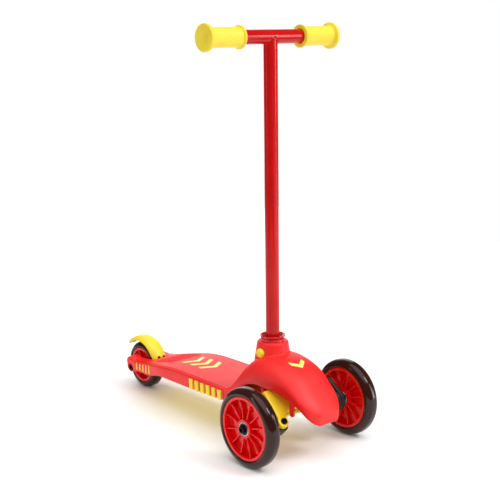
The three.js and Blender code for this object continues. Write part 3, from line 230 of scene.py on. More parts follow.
def prism(points: Sequence[Flat], start: float, end: float, way: Way) -> Object:
    """Extrude a flat outline along an axis.

    Args:
        points: The outline, on Y and Z for X, on X and Z for Y, and on X and Y for Z.
        start: Where it starts along the axis.
        end: Where it ends.
        way: The axis.

    Returns:
        A closed solid.
    """
    place: dict[Way, Callable[[float, float, float], Spot]] = {
        Way.X: lambda u, v, w: (w, u, v),
        Way.Y: lambda u, v, w: (u, w, v),
        Way.Z: lambda u, v, w: (u, v, w),
    }
    return loft([[place[way](u, v, w) for u, v in points] for w in (start, end)])


def block(x0: float, x1: float, y0: float, y1: float, z0: float, z1: float) -> Object:
    """Make a box between two corners, for joining to or cutting from a piece."""
    return prism([(x0, y0), (x1, y0), (x1, y1), (x0, y1)], z0, z1, Way.Z)


def spun(profile: Sequence[Flat], way: Way, centre: Spot = (0, 0, 0), steps: int = 64) -> Object:
    """Spin a profile of (radius, place along) points about an axis.

    Args:
        profile: A closed outline, or an open one that starts and ends on the axis.
        way: The axis.
        centre: A point on it.
        steps: Facets round it.

    Returns:
        A closed solid.
    """
    ahead, out = (Vector(v) for v in way.value)
    middle = Vector(centre)
    made = outline([middle + ahead * h + out * r for r, h in profile], "NOTHING")
    bpy.ops.object.mode_set(mode="EDIT")
    if profile[0][0] == profile[-1][0] == 0:
        bpy.ops.mesh.select_mode(type="EDGE")
        bpy.ops.mesh.select_all(action="DESELECT")
        mesh = bmesh.from_edit_mesh(made.data)
        ends = {0, len(profile) - 1}
        for edge in mesh.edges:
            edge.select_set({corner.index for corner in edge.verts} == ends)
        bmesh.update_edit_mesh(made.data)
        bpy.ops.mesh.delete(type="EDGE")
    bpy.ops.mesh.select_all(action="SELECT")
    bpy.ops.mesh.spin(steps=steps, angle=math.tau, center=metres(middle), axis=ahead)
    bpy.ops.mesh.select_all(action="SELECT")
    bpy.ops.mesh.remove_doubles(threshold=MERGE)
    bpy.ops.mesh.normals_make_consistent(inside=False)
    bpy.ops.object.mode_set(mode="OBJECT")
    return made


def mirrored(profile: Sequence[Flat]) -> list[Flat]:
    """Give a profile's points on the other side of the middle, in reverse order."""
    return [(r, -h) for r, h in reversed(profile)]


def rod(
    radius: float, start: float, end: float, way: Way, centre: Spot = (0, 0, 0), steps: int = 48
) -> Object:
    """Spin a round bar, for joining to or cutting from a piece."""
    return spun([(0, start), (radius, start), (radius, end), (0, end)], way, centre, steps)


def side_block(side: float, near: float, far: float, *ends: float) -> Object:
    """Make a box on one side, near and far in X being distances from the middle."""
    return block(*sorted((side * near, side * far)), *ends)


def side_rod(side: float, radius: float, near: float, far: float, centre: Spot, steps: int) -> Object:
    """Spin a round bar along X on one side, near and far being distances from the middle."""
    return rod(radius, *sorted((side * near, side * far)), Way.X, centre, steps)


def apply(made: Object, kind: str, **settings: object) -> Object:
    """Add a modifier with its settings and apply it.

    Args:
        made: The object.
        kind: The modifier's type.
        settings: Its fields.

    Returns:
        The same object.
    """
    pick(made)
    modifier = made.modifiers.new(kind.title(), kind)
    for name, value in settings.items():
        setattr(modifier, name, value)
    bpy.ops.object.modifier_apply(modifier=modifier.name)
    return made


def combine(base: Object, how: Blend, *others: Object) -> Object:
    """Join, cut or keep with other solids, which are used up."""
    for other in others:
        apply(base, "BOOLEAN", operation=how.value, solver="MANIFOLD", object=other)
        bpy.data.objects.remove(other)
    return base


def merged(*objects: Object) -> Object:
    """Put several meshes into one object without cutting them."""
    pick(*objects)
    bpy.ops.object.join()
    return objects[0]


def twin(made: Object, matrix: Matrix | None = None, flip: bool = False) -> Object:
    """Copy an object with its own mesh, moved by a matrix or mirrored in X.

    Args:
        made: The object to copy.
        matrix: Where the copy goes.
        flip: Whether the copy is the mirror image.

    Returns:
        The copy.
    """
    copy = made.copy()
    copy.data = made.data.copy()
    bpy.context.collection.objects.link(copy)
    if matrix:
        copy.data.transform(matrix)
    if flip:
        copy.data.transform(Matrix.Scale(-1, 4, (1, 0, 0)))
        copy.data.flip_normals()
    return copy


def pair(make: Callable[[float], Object]) -> list[Object]:
    """Make a piece for each side."""
    return [make(-1.0), make(1.0)]


def shade(made: Object, angle: float = 40) -> Object:
    """Shade smooth over edges up to an angle in degrees."""
    pick(made)
    bpy.ops.object.shade_smooth_by_angle(angle=math.radians(angle))
    return made


def soften(made: Object, voxel: float, rounds: int) -> Object:
    """Melt a hard-edged solid into one skin with moulded, rounded edges.

    Args:
        made: The solid, whose shells may overlap.
        voxel: Size of the new faces in millimetres.
        rounds: How many times it is smoothed.

    Returns:
        The same object.
    """
    apply(made, "REMESH", mode="VOXEL", voxel_size=voxel / 1000)
    apply(made, "SMOOTH", factor=0.5, iterations=rounds)
    pick(made)
    bpy.ops.object.shade_smooth()
    return made


def bevel(made: Object, width: float, segments: int = 3, angle: float = 30) -> Object:
    """Round the sharp edges and shade the rest smooth.

    Args:
        made: The object.
        width: Width of the round in millimetres.
        segments: Its facets.
        angle: The smallest edge angle that is rounded, in degrees.

    Returns:
        The same object.
    """
    limit = math.radians(angle)
    apply(made, "BEVEL", width=width / 1000, segments=segments, limit_method="ANGLE", angle_limit=limit)
    return shade(made, 32)


# Finishes


def linear(code: str) -> tuple[float, float, float, float]:
    """Turn an sRGB hex colour such as E01E26 into linear light."""
    parts = [int(code[i : i + 2], 16) / 255 for i in (0, 2, 4)]
    red, green, blue = (p / 12.92 if p <= 0.04045 else ((p + 0.055) / 1.055) ** 2.4 for p in parts)
    return red, green, blue, 1.0


def node(
    tree: bpy.types.NodeTree, kind: str, inputs: dict | None = None, **settings: object
) -> bpy.types.Node:
    """Add a shader node.

    Args:
        tree: The material's node tree.
        kind: The node's type.
        inputs: Values and sockets for its inputs, by name or number.
        settings: Its fields.

    Returns:
        The node.
    """
    made = tree.nodes.new(kind)
    for name, value in settings.items():
        setattr(made, name, value)
    for name, value in (inputs or {}).items():
        if isinstance(value, bpy.types.NodeSocket):
            tree.links.new(value, made.inputs[name])
        else:
            made.inputs[name].default_value = value
    return made


@dataclass(frozen=True)
class Finish:
    """What a surface is made of, and the texture that its making left."""

    name: str
    slot: str
    colour: str
    tone: str  # the colour that it drifts towards
    roughness: float
    grain: float  # size of the surface texture in mm
    relief: float  # its height in mm
    stretch: Spot = (1, 1, 1)  # how much finer the texture is along each axis
    drift: float = 35  # size in mm of the slow change of colour
    uneven: float = 0.05  # how far the roughness changes
    metallic: float = 0
    coat: float = 0
    subsurface: float = 0
    depth: float = 2  # how far light goes in, in mm
    specular: float = 0.5
    ior: float | None = 1.49
    detail: float = 3  # octaves of the grain's noise
    grain_range: Flat = (0.3, 0.7)  # what of its noise shows as rough and smooth
    drift_range: Flat = (0.35, 0.65)  # and what of the slow noise as the two colours
    coat_roughness: float = 0.04

    def material(self) -> bpy.types.Material:
        """Build the material once and give it."""
        known = bpy.data.materials.get(self.name)
        if known:
            return known
        made = bpy.data.materials.new(self.name)
        made.use_nodes = True
        tree = made.node_tree
        shader = tree.nodes["Principled BSDF"]
        place = node(tree, "ShaderNodeTexCoord").outputs["Object"]
        scaled = node(tree, "ShaderNodeMapping", {"Vector": place, "Scale": self.stretch}).outputs[0]
        per_metre = 1000 / self.grain
        grain = node(
            tree, "ShaderNodeTexNoise", {"Vector": scaled, "Scale": per_metre, "Detail": self.detail}
        ).outputs[0]
        slow = node(
            tree, "ShaderNodeTexNoise", {"Vector": place, "Scale": 1000 / self.drift, "Detail": 2.0}
        ).outputs[0]
        low, high = self.drift_range
        share = node(tree, "ShaderNodeMapRange", {"Value": slow, 1: low, 2: high, 3: 0.0, 4: 1.0}).outputs[0]
        tint = node(
            tree, "ShaderNodeMix", {0: share, 6: linear(self.colour), 7: linear(self.tone)},
            data_type="RGBA",
        )
        low, high = self.grain_range
        smoothest, roughest = self.roughness - self.uneven, self.roughness + self.uneven
        rough = node(
            tree, "ShaderNodeMapRange", {"Value": grain, 1: low, 2: high, 3: smoothest, 4: roughest}
        )
        bump = node(
            tree, "ShaderNodeBump", {"Height": grain, "Strength": 1.0, "Distance": self.relief / 1000}
        )
        tree.links.new(tint.outputs[2], shader.inputs["Base Color"])
        tree.links.new(rough.outputs[0], shader.inputs["Roughness"])
        tree.links.new(bump.outputs[0], shader.inputs["Normal"])
        shader.inputs["Metallic"].default_value = self.metallic
        shader.inputs["Specular IOR Level"].default_value = self.specular
        shader.inputs["Coat Weight"].default_value = self.coat
        shader.inputs["Coat Roughness"].default_value = self.coat_roughness
        shader.inputs["Subsurface Weight"].default_value = self.subsurface
        shader.inputs["Subsurface Scale"].default_value = self.depth / 1000
        if self.ior:
            shader.inputs["IOR"].default_value = self.ior
        return made


# Polypropylene moulded in a spark-eroded tool: matt red whose fine grain breaks up the light.
# The real grain is about 0.15 mm, drawn at 0.8 mm so that it shows.
RED_SHELL = Finish(
    "moulded_polypropylene_red", "red_shell", "EE2220", "E61A18", 0.44, 0.8, 0.05,
    uneven=0.07, specular=0.4,
)
# Gloss moulded ABS of the socket ring: smooth and a little darker than the shell.
RED_RING = Finish("gloss_abs_red", "red_gloss", "C8101A", "BE0C15", 0.16, 4, 0.01, coat=0.3)
# Powder-coated steel tube: deep red with a clear gloss and a faint orange peel of about 2 mm.
RED_TUBE = Finish(
    "powder_coated_steel_red", "red_painted_tube", "C20C0C", "B80909", 0.16, 2.2, 0.003,
    uneven=0.03, specular=0.22, coat=0.05,
)
# Polycarbonate hub from a polished tool: clear deep red with sharp highlights on its ribs.
RED_HUB = Finish(
    "polished_polycarbonate_red", "red_hub", "E60608", "DA0406", 0.14, 6, 0.01,
    specular=0.35, coat=0.1, subsurface=0.2, depth=3, ior=1.58,
)
# Yellow polypropylene: satin, a little light goes in and softens its shade towards orange.
YELLOW = Finish(
    "moulded_polypropylene_yellow", "yellow_plastic", "F7DC2E", "F2D122", 0.4, 0.8, 0.04, subsurface=0.12
)
# Soft grip rubber: lemon yellow, matt, with light going in deeper.
YELLOW_GRIP = Finish(
    "soft_tpr_yellow", "yellow_grip", "F2DA3A", "ECD02C", 0.5, 0.9, 0.05, subsurface=0.15, depth=3
)
# Ink printed on the deck: pale yellow, smoother than the plastic under it.
YELLOW_INK = Finish("printed_ink_yellow", "yellow_plastic", "FCEB78", "F9E56B", 0.35, 1.2, 0.01)
# Glass-filled nylon of the knuckles: near black, satin, slightly mottled by the fibres.
BLACK_NYLON = Finish(
    "glass_filled_nylon_black", "black_plastic", "1B1A1C", "242326", 0.48, 1.1, 0.06, ior=1.53
)
# Black-oxide steel bolts: dark metal with a faint oily gloss.
BLACK_OXIDE = Finish(
    "black_oxide_steel", "black_steel", "2B2A2C", "1D1C1E", 0.36, 1.5, 0.02, metallic=1, ior=None
)
# Cast polyurethane tyre: smoky brown black, very glossy, with some light in its edges.
SMOKE = Finish(
    "cast_polyurethane_smoke", "smoke_tyre", "35150E", "28100A", 0.12, 5, 0.01,
    uneven=0.03, specular=0.3, subsurface=0.1, depth=4, coat=0.1,
)
# Rubber seal of a bearing: dull black with a fine dusty bloom. The black is partly the rubber's own colour
# and partly painted shade for the dark hollow inside the bearing.
SEAL_WITH_PAINTED_SHADE = Finish("sealing_rubber_black_painted_shade", "black_plastic", "161517", "1F1E20", 0.6, 0.7, 0.02)
# Bright zinc on pressed steel: pale grey metal with fine turning marks round its axis.
ZINC = Finish(
    "zinc_plated_steel", "steel", "C9CCD0", "B9BDC3", 0.28, 1.2, 0.01,
    stretch=(4, 1, 1), metallic=1, ior=None,
)


def finish(made: Object, name: str, look: Finish, body: str, *nodes: str) -> Object:
    """Name and dress a piece, let it ride on a body and stand for its nodes.

    Args:
        made: The piece.
        name: Its name.
        look: Its finish.
        body: The body that it moves with.
        nodes: The nodes that it stands for.

    Returns:
        The same object.
    """
    made.name = name
    made.data.name = name
    made.data.materials.clear()
    made.data.materials.append(look.material())
    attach(made, body)
    if nodes:
        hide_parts(*nodes)
    log.info("%s: %d faces, %s", name, len(made.data.polygons), look.name)
    return made


def dress(look: Finish, *nodes: str) -> None:
    """Give nodes of the frame that stay a finish."""
    for name in nodes:
        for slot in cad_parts[name].material_slots:
            slot.material = look.material()
        log.info("%s kept, %s", name, look.name)


# Body


@dataclass
class BodyLines:
    """Heights and widths of the moulded body along its length."""

    nose_front: float = -66
    seam: float = 120  # between nose and deck
    nose_turn: float = -30
    turn_half: float = 42
    tip_half: float = 17
    height: float = 150
    deck_half: float = 60
    deck_z: float = 84
    arm_z: float = 64
    arm_fall: float = 3
    arm_half: float = 38
    wheel_base: float = WHEEL_BASE
    arm_end: float = 11
    side_z: float = 63
    side_drop: float = 28.5
    crown_high: float = 2.2
    wall: float = 3
    draft: float = 1.5
    edge_r: float = 3.6  # round of the deck's top edges
    tuck: float = 1.5  # how far posts and walls run into the skin
    narrow_before: float = 140  # how far before the rear axle the deck starts to narrow
    narrow_long: float = 145
    tip_round_share: float = 0.25
    plan_power: float = 1.7  # fullness of the nose in plan
    hood_powers: Flat = (2.7, 0.62)  # fullness of the hood across
    deck_power: float = 2.3  # fullness of the deck's crown
    rear_r: float = REAR_R
    crown: Rows = (
        (0, 0.527), (0.032, 0.587), (0.091, 0.667), (0.15, 0.743), (0.274, 0.883), (0.398, 0.957),
        (0.522, 0.993), (0.597, 1), (0.699, 0.987), (0.796, 0.907), (0.85, 0.82), (0.919, 0.66), (1, 0.575),
    )
    crease: Rows = (
        (0, 0.5), (0.059, 0.56), (0.124, 0.62), (0.306, 0.753), (0.435, 0.79), (0.624, 0.79), (0.785, 0.7),
        (0.892, 0.61), (1, 0.56),
    )
    low_edge: Rows = (
        (0, 0.4), (0.032, 0.427), (0.086, 0.49), (0.14, 0.56), (0.194, 0.6), (0.274, 0.647),
        (0.409, 0.693), (0.57, 0.713), (0.677, 0.707), (0.785, 0.647), (0.892, 0.507), (1, 0.42),
    )
    width: Rows = ((0, 0), (0.133, 0.222), (0.3, 0.444), (0.533, 0.667), (0.8, 0.889), (1, 1))
    top_drop: Rows = (
        (0, 0), (0.38, 0), (0.46, 0.03), (0.54, 0.14), (0.62, 0.31), (0.7, 0.52), (0.78, 0.76),
        (0.84, 0.93), (0.89, 1), (0.94, 0.96), (1, 0.76),
    )
    low_drop: Rows = (
        (0, 0), (0.31, 0.09), (0.5, 0.09), (0.6, 0.14), (0.73, 0.53), (0.82, 0.65), (0.9, 0.77),
        (0.95, 0.95), (1, 1),
    )

    @property
    def arm_tip(self) -> float:
        """End of the fork arms."""
        return self.wheel_base + self.arm_end

    def nose_share(self, y: float) -> float:
        """Place along the nose."""
        return (y - self.nose_front) / (self.seam - self.nose_front)

    def nose_top(self, y: float) -> float:
        """Height of the nose's middle line."""
        return self.height * along(self.crown, self.nose_share(y))

    def nose_crease(self, y: float) -> float:
        """Height of the crease between its top and its side."""
        return self.height * along(self.crease, self.nose_share(y))

    def nose_low(self, y: float) -> float:
        """Height of its lower edge."""
        return self.height * along(self.low_edge, self.nose_share(y))

    def nose_half(self, y: float) -> float:
        """Half its width."""
        if y > self.nose_turn:
            share = (y - self.nose_turn) / (self.seam - self.nose_turn)
            return mix(self.turn_half, self.deck_half, along(self.width, share))
        back = min((self.nose_turn - y) / (self.nose_turn - self.nose_front), 1)
        power = self.plan_power
        return mix(self.tip_half, self.turn_half, (1 - back**power) ** (1 / power))

    def roundness(self, share: float) -> float:
        """How far the hood has risen from its crease to its crown at a share of its half width."""
        across, rise = self.hood_powers
        return (1 - share**across) ** rise

    def nose_skin(self, x: float, y: float) -> float:
        """Height of the nose's outside above a point of its plan."""
        share = min(abs(x) / self.nose_half(y), 1)
        return mix(self.nose_crease(y), self.nose_top(y), self.roundness(share))

    def narrow(self, y: float) -> float:
        """How far the deck has narrowed to its arms, from 0 to 1."""
        return smooth((y - self.wheel_base + self.narrow_before) / self.narrow_long)

    def deck_share(self, y: float) -> float:
        """Place along the deck."""
        return (y - self.seam) / (self.arm_tip - self.seam)

    def half_at(self, y: float) -> float:
        """Half the deck's width."""
        return mix(self.deck_half, self.arm_half, self.narrow(y))

    def top_at(self, y: float) -> float:
        """Height of its inner edges."""
        return mix(self.deck_z, self.arm_z, along(self.top_drop, self.deck_share(y)))

    def fall_at(self, y: float) -> float:
        """How much lower its outer edges are."""
        return self.arm_fall * self.narrow(y)

    def low_at(self, y: float) -> float:
        """Height of its lower edge."""
        return self.side_z - self.side_drop * along(self.low_drop, self.deck_share(y))

    def peak_at(self, y: float) -> float:
        """How far its middle stands above its edges."""
        lift = self.nose_top(self.seam) - self.nose_crease(self.seam)
        near = lift * (1 - smooth((y - self.seam) / (self.deck_half / 2)))
        return max(self.crown_high * (1 - self.narrow(y)), near)

    def round_at(self, y: float) -> float:
        """How much the end of an arm is rounded off."""
        left = self.arm_tip - y
        if left >= self.arm_end:
            return 0
        rise = 1 - math.sqrt(max(0, 1 - (1 - left / self.arm_end) ** 2))
        return rise * (self.arm_z - self.low_at(self.arm_tip)) * self.tip_round_share

    def deck_skin(self, x: float, y: float) -> float:
        """Height of the deck's outside above a point of its plan."""
        half = self.half_at(y) - self.edge_r
        share = min(abs(x) / half, 1)
        edge = self.top_at(y) - self.fall_at(y) * share - self.round_at(y)
        return edge + self.peak_at(y) * (1 - share**self.deck_power)


def both_sides(section: Sequence[Flat], y: float) -> list[Spot]:
    """Mirror half a section, from its lower edge up to the middle, into a whole loop."""
    right = [(x, y, z) for x, z in section if x > MIDDLE]
    middle = [(0.0, y, z) for x, z in section if x <= MIDDLE]
    return right + middle + [(-x, y, z) for x, _, z in reversed(right)]


@dataclass
class Nose:
    """The hood over the steering, with its collar for the post."""

    lines: BodyLines
    post_y: float = POST_Y
    flank_shares: Flat = (0.45, 0.8)  # heights of the points on its side
    hollow_past: float = 4  # how far the hollow runs out below and behind
    collar_r: Flat = (30, 25.2)  # at its foot and at its top
    collar_high: float = 18  # above the hood's crown
    collar_low: float = 22  # and below it
    collar_skirt: float = 6
    collar_fillet: Rows = ((5, -2.5), (1.4, 1.2))  # out from its foot, and up
    lip_in: float = 3
    lip_r: float = 3.4
    floor_low: float = 42  # below the hood's crown
    floor_thick: float = 3
    floor_r: float = 17
    bush_r: float = 14
    bush_past: float = 9
    tongue_y: float = -25
    tongue_z: float = 70
    tongue_wide: float = 10
    tongue_root: float = 6
    tongue_thick: float = 4
    wall_thick: float = 3
    wall_past: float = 2
    rib_half: float = 1.5
    core_r: float = 2
    core_z: Flat = (70, 95)
    button_r: float = 8
    button_up: float = 1  # above the hood's crown
    button_reach: float = 35

    def section(self, y: float, inset: float, lower: float) -> list[Flat]:
        """Give half a section across the nose.

        Args:
            y: Where it lies.
            inset: How far it lies inside the skin.
            lower: How far its lower edge is dropped.

        Returns:
            Its points from the lower edge to the middle.
        """
        lines = self.lines
        half = lines.nose_half(y) - inset
        crease, low = lines.nose_crease(y) - inset, lines.nose_low(y) - lower
        top = lines.nose_top(y) - inset
        flank = [(half, mix(low, crease, share)) for share in self.flank_shares]
        points = [(half - lines.draft, low), *flank]
        for turn in spread(0, math.pi / 2, 18):
            share = max(math.cos(turn), 0)
            points.append((half * share, mix(crease, top, lines.roundness(share))))
        return points

    def skin(self, start: float, end: float, inset: float, lower: float) -> Object:
        """Loft the nose's outside, or its inside with an inset.

        Args:
            start: Its front.
            end: Its rear.
            inset: How far it lies inside the skin.
            lower: How far its lower edge is dropped.

        Returns:
            A closed solid.
        """
        turn = self.lines.nose_turn
        front = [mix(start, turn, 1 - math.cos(a)) for a in spread(0, math.pi / 2, 16)]
        ys = front[:-1] + spread(turn, end, 46)
        return loft([both_sides(self.section(y, inset, lower), y) for y in ys])

    def tongue(self, side: float) -> Object:
        """Make a round-ended tongue that hangs from the side wall.

        Args:
            side: 1 for the left, -1 for the right.

        Returns:
            The tongue.
        """
        lines, r = self.lines, self.tongue_wide / 2
        out = lines.nose_half(self.tongue_y) - lines.draft
        top = lines.nose_low(self.tongue_y) + self.tongue_root
        ends = arc((self.tongue_y, self.tongue_z + r), r, 180, 360, 14)
        shape = [(self.tongue_y + r, top), (self.tongue_y - r, top), *ends]
        return prism(shape, *sorted((side * out, side * (out - self.tongue_thick))), Way.X)

    def bulkhead(self) -> Object:
        """The wall across the rear of the hood, open below for the yoke's slab."""
        end, reach = self.lines.seam - GAP / 2, SLAB_HALF + GAP
        front = end - self.wall_thick
        wall = loft([both_sides(self.section(y, self.lines.tuck, 0), y) for y in (front, end)])
        room = block(-reach, reach, front - self.wall_past, end + self.wall_past, 0, SLAB_TOP + GAP)
        return combine(wall, Blend.CUT, room)

    @property
    def collar_top(self) -> float:
        """Height of the collar's rim."""
        return self.lines.height + self.collar_high

    @property
    def floor_z(self) -> float:
        """Height of the underside of the collar's floor."""
        return self.lines.height - self.floor_low

    def bush_room(self) -> Object:
        """The room for the sleeve that the post stands in, for cutting."""
        centre = (0, self.post_y, 0)
        start, end = self.floor_z + self.floor_thick, self.collar_top + self.bush_past
        return rod(self.bush_r + GAP, start, end, Way.Z, centre)

    def collar(self) -> Object:
        """Spin the flared collar with the floor that closes it below."""
        bush, (wide, narrow) = self.bush_r + GAP, self.collar_r
        top, base, floor = self.collar_top, self.lines.height - self.collar_low, self.floor_z
        lip = arc((narrow - self.lip_in, top - self.lip_in), self.lip_r, 12, 90, 6)
        foot = [(wide + out, base + up) for out, up in self.collar_fillet]
        profile = [
            (bush, floor + self.floor_thick), (0, floor + self.floor_thick), (0, floor),
            (self.floor_r, floor), (wide, base - self.collar_skirt), *foot, *lip, (bush, top),
        ]
        return spun(profile, Way.Z, (0, self.post_y, 0))

    def rib(self) -> Object:
        """The cross rib under the collar."""
        lines, half, y = self.lines, self.rib_half, self.post_y
        reach = lines.turn_half - lines.wall
        top = lines.nose_skin(reach, y) - lines.tuck
        made = block(-reach, reach, y - half, y + half, self.floor_z, top)
        return combine(made, Blend.CUT, self.bush_room())

    def build(self) -> None:
        """Mould the hood, its collar and its screw posts as one skin."""
        lines, past = self.lines, self.hollow_past
        end = lines.seam - GAP / 2
        screws = [(side * x, y, 0) for side in (-1, 1) for x, y in NOSE_SCREWS]
        shell = self.skin(lines.nose_front, end, 0, 0)
        hollow = self.skin(lines.nose_front + lines.wall, lines.seam + past, lines.wall, past)
        combine(shell, Blend.CUT, hollow)
        combine(shell, Blend.JOIN, self.bulkhead())
        combine(shell, Blend.CUT, self.bush_room())
        collar = self.collar()
        under = self.skin(lines.nose_front, end, lines.tuck, SLAB_TOP)
        low = SLAB_TOP + GAP
        posts = [rod(SCREW_POST_R, low, lines.nose_top(at[1]), Way.Z, at, POST_STEPS) for at in screws]
        combine(posts[0], Blend.JOIN, *posts[1:])
        combine(under, Blend.KEEP, posts[0])
        combine(shell, Blend.JOIN, collar, under, self.rib(), *pair(self.tongue))
        spot = (0, self.post_y, lines.height + self.button_up)
        hole = rod(self.button_r + GAP, -self.button_reach, 0, Way.X, spot)
        cores = [rod(self.core_r, *self.core_z, Way.Z, at, SCREW_STEPS) for at in screws]
        combine(shell, Blend.CUT, hole, *cores)
        soften(shell, voxel=1.15, rounds=6)
        finish(shell, "nose_shell", RED_SHELL, "chassis", "nose_housing")


@dataclass
class Deck:
    """The standing deck with its fork arms, notches, ridges and the tray under it."""

    lines: BodyLines
    dense_y: float = 240  # its sections lie closer together from here
    flank_share: float = 0.6  # height of the point on its side
    edge_turn: Flat = (0.05, 1.5)  # angles of the rounded edge, in radians
    across_shares: tuple[float, ...] = (0.97, 0.92, 0.85, 0.75, 0.62, 0.48, 0.32, 0.16, 0)
    hollow_past: float = 12
    hollow_short: float = 12  # how far before the rear axle it ends
    hollow_rise_share: float = 0.8
    room_half: float = 150  # half height of what the slot takes out
    slot_half: float = 17
    slot_clear: float = 10.5
    slot_corner: float = 2
    slot_low: float = -20
    end_past: float = 4  # how far cutters run past the deck's ends
    boss_r: float = 7
    boss_x: Flat = (12, 17.6)
    seat_r: float = 7.6
    seat_deep: float = 4.6
    pin_r: float = 1.9
    pin_half: float = 24
    screw_in: float = 12
    screw_shares: Flat = (0.12, 0.53)
    post_up: float = 3.2
    core_down: float = 1
    core_up: float = 14
    notch_in: float = 54
    notch_low: float = 4
    past_x: float = 66  # how far out the cutters of the side walls reach
    groove_in: float = 5.6
    groove_end: float = 412
    groove_half: float = 1
    groove_deep: float = 1.7
    groove_over: float = 1.5
    notch_from: float = 123
    notch_to: float = 215
    notch_count: int = 6
    notch_share: float = 0.62
    notch_under: float = 4  # from the deck's top to a notch
    rib_proud: float = 1.8
    side_high: float = 16.8
    flutes: Flat = (346, 402)
    flute_count: int = 5
    flute_wide: float = 4.4
    ridges: int = 7
    ridge_y: float = 302
    ridge_pitch: float = 7.2
    ridge_half: float = 36
    ridge_wide: float = 3
    ridge_high: float = 1.3
    ridge_low: float = 0.05  # its height at its very ends
    ridge_ends: float = 12  # how steeply its ends rise
    ridge_sunk: float = 1
    tray_floor: float = 2.6
    tray_draft: float = 0.75
    tray_under: float = 7  # below the deck's edge
    keel_z: float = 52
    keel_half: float = 34
    keel_y: Flat = (140, 306)
    keel_slope: float = 7
    keel_draft: float = 3.5
    keel_in: float = 14
    pockets: int = 3
    pocket_x: Flat = (16, 27)
    pocket_wall: float = 7
    pocket_deep: float = 1.4
    tray_past: float = 4
    tray_core_up: float = 8
    hook_round: float = 1.5
    hook_high: float = 5.6

    @property
    def slot_y(self) -> float:
        """Front of the wheel's slot."""
        return self.lines.wheel_base - self.lines.rear_r - self.slot_clear

    @property
    def hollow_end(self) -> float:
        """Where the hollow in the arms ends."""
        return self.lines.wheel_base - self.hollow_short

    @property
    def notches(self) -> list[Flat]:
        """Front and rear of each notch."""
        pitch = (self.notch_to - self.notch_from) / self.notch_count
        reach = pitch * self.notch_share / 2
        middles = [self.notch_from + pitch * (k + 0.5) for k in range(self.notch_count)]
        return [(y - reach, y + reach) for y in middles]

    @property
    def tray_screws(self) -> list[Flat]:
        """Places of the screws that hold the tray."""
        ys = [mix(self.lines.seam + GAP, self.hollow_end, share) for share in self.screw_shares]
        return [(side * (self.lines.half_at(y) - self.screw_in), y) for side in (-1, 1) for y in ys]

    def outside(self, y: float) -> list[Flat]:
        """Give half a section of the deck's outside.

        Args:
            y: Where it lies.

        Returns:
            Its points.
        """
        lines, r = self.lines, self.lines.edge_r
        half, low = lines.half_at(y), lines.low_at(y) + lines.round_at(y)
        edge = lines.deck_skin(half, y)
        angles = spread(*self.edge_turn, 5)
        turn = [(half - r + r * math.cos(a), edge - r + r * math.sin(a)) for a in angles]
        across = [(half - r) * share for share in self.across_shares]
        top = [(x, lines.deck_skin(x, y)) for x in across]
        return [(half - lines.draft, low), (half, mix(low, edge, self.flank_share)), *turn, *top]

    def inside(self, y: float) -> list[Flat]:
        """Give half a section of the deck's hollow.

        Args:
            y: Where it lies.

        Returns:
            Its points.
        """
        lines, wall, r = self.lines, self.lines.wall, self.lines.edge_r
        half, top = lines.half_at(y) - wall, lines.top_at(y) - wall
        side, peak = top - lines.fall_at(y), lines.peak_at(y)
        low, rise = lines.low_at(y) - self.hollow_past, peak * self.hollow_rise_share
        edge = [(half - lines.draft, low), (half, side - r), (half - r, side)]
        return [*edge, (half / 2, top + rise), (0, top + peak)]

    def slot_room(self, thick: float) -> Object:
        """The room that the wheel's slot and its walls take out of the hollow."""
        reach, high = self.slot_half + thick, self.room_half
        end = self.lines.arm_tip + self.end_past
        return block(-reach, reach, self.slot_y - thick, end, -high, high)

    def slot(self) -> Object:
        """The wheel's slot with its round corners, for cutting."""
        half, front, r = self.slot_half, self.slot_y, self.slot_corner
        end = self.lines.arm_tip + self.end_past
        left = arc((r - half, front + r), r, 180, 270, 5)
        right = arc((half - r, front + r), r, 270, 360, 5)
        return prism([(-half, end), *left, *right, (half, end)], self.slot_low, self.room_half, Way.Z)

    def post(self, x: float, y: float, low: float) -> Object:
        """A screw post from a height up into the deck's skin."""
        high = self.lines.deck_skin(x, y) - self.lines.tuck
        return rod(SCREW_POST_R, low, high, Way.Z, (x, y, 0), POST_STEPS)

    def shell(self) -> Object:
        """Loft the deck, hollow it and cut its slot, notches and flutes."""
        lines = self.lines
        axle = (0, lines.wheel_base, lines.rear_r)
        tip = [mix(lines.wheel_base, lines.arm_tip, math.sin(a)) for a in spread(0, math.pi / 2, 8)]
        plain = spread(lines.seam + GAP / 2, self.dense_y, 16)[:-1]
        ys = plain + spread(self.dense_y, lines.wheel_base, 50)[:-1] + tip
        made = loft([both_sides(self.outside(y), y) for y in ys])
        hollow_ys = spread(lines.seam - self.end_past, self.hollow_end, 48)
        hollow = loft([both_sides(self.inside(y), y) for y in hollow_ys])
        combine(hollow, Blend.CUT, self.slot_room(lines.wall))
        combine(made, Blend.CUT, hollow, self.slot())
        bosses = [side_rod(s, self.boss_r, *self.boss_x, axle, 32) for s in (-1, 1)]
        x, y = DECK_SCREW
        tray_posts = [self.post(*at, lines.low_at(at[1]) + self.post_up) for at in self.tray_screws]
        slab_posts = [self.post(s * x, y, SLAB_TOP + GAP) for s in (-1, 1)]
        combine(made, Blend.JOIN, *bosses, *tray_posts, *slab_posts)
        seat_from, half = lines.arm_half - self.seat_deep, lines.deck_half
        seats = [side_rod(s, self.seat_r, seat_from, half, axle, 40) for s in (-1, 1)]
        bore = rod(AXLE_BORE_R, -half, half, Way.X, axle, HOLE_STEPS)
        pin_hole = rod(self.pin_r, -self.pin_half, self.pin_half, Way.X, (0, *BRAKE_PIN), SCREW_STEPS)
        cores = [self.core(x, y, self.core_down, self.core_up) for x, y in self.tray_screws]
        combine(made, Blend.CUT, *seats, bore, pin_hole, *cores)
        for front, end in self.notches:
            low, high = lines.low_at(end) - self.notch_low, lines.top_at(end) - self.notch_under
            self.pierce(made, self.notch_in, front, end, low, high)
        wide = self.flute_wide / 2
        for y in spread(*self.flutes, self.flute_count - 1):
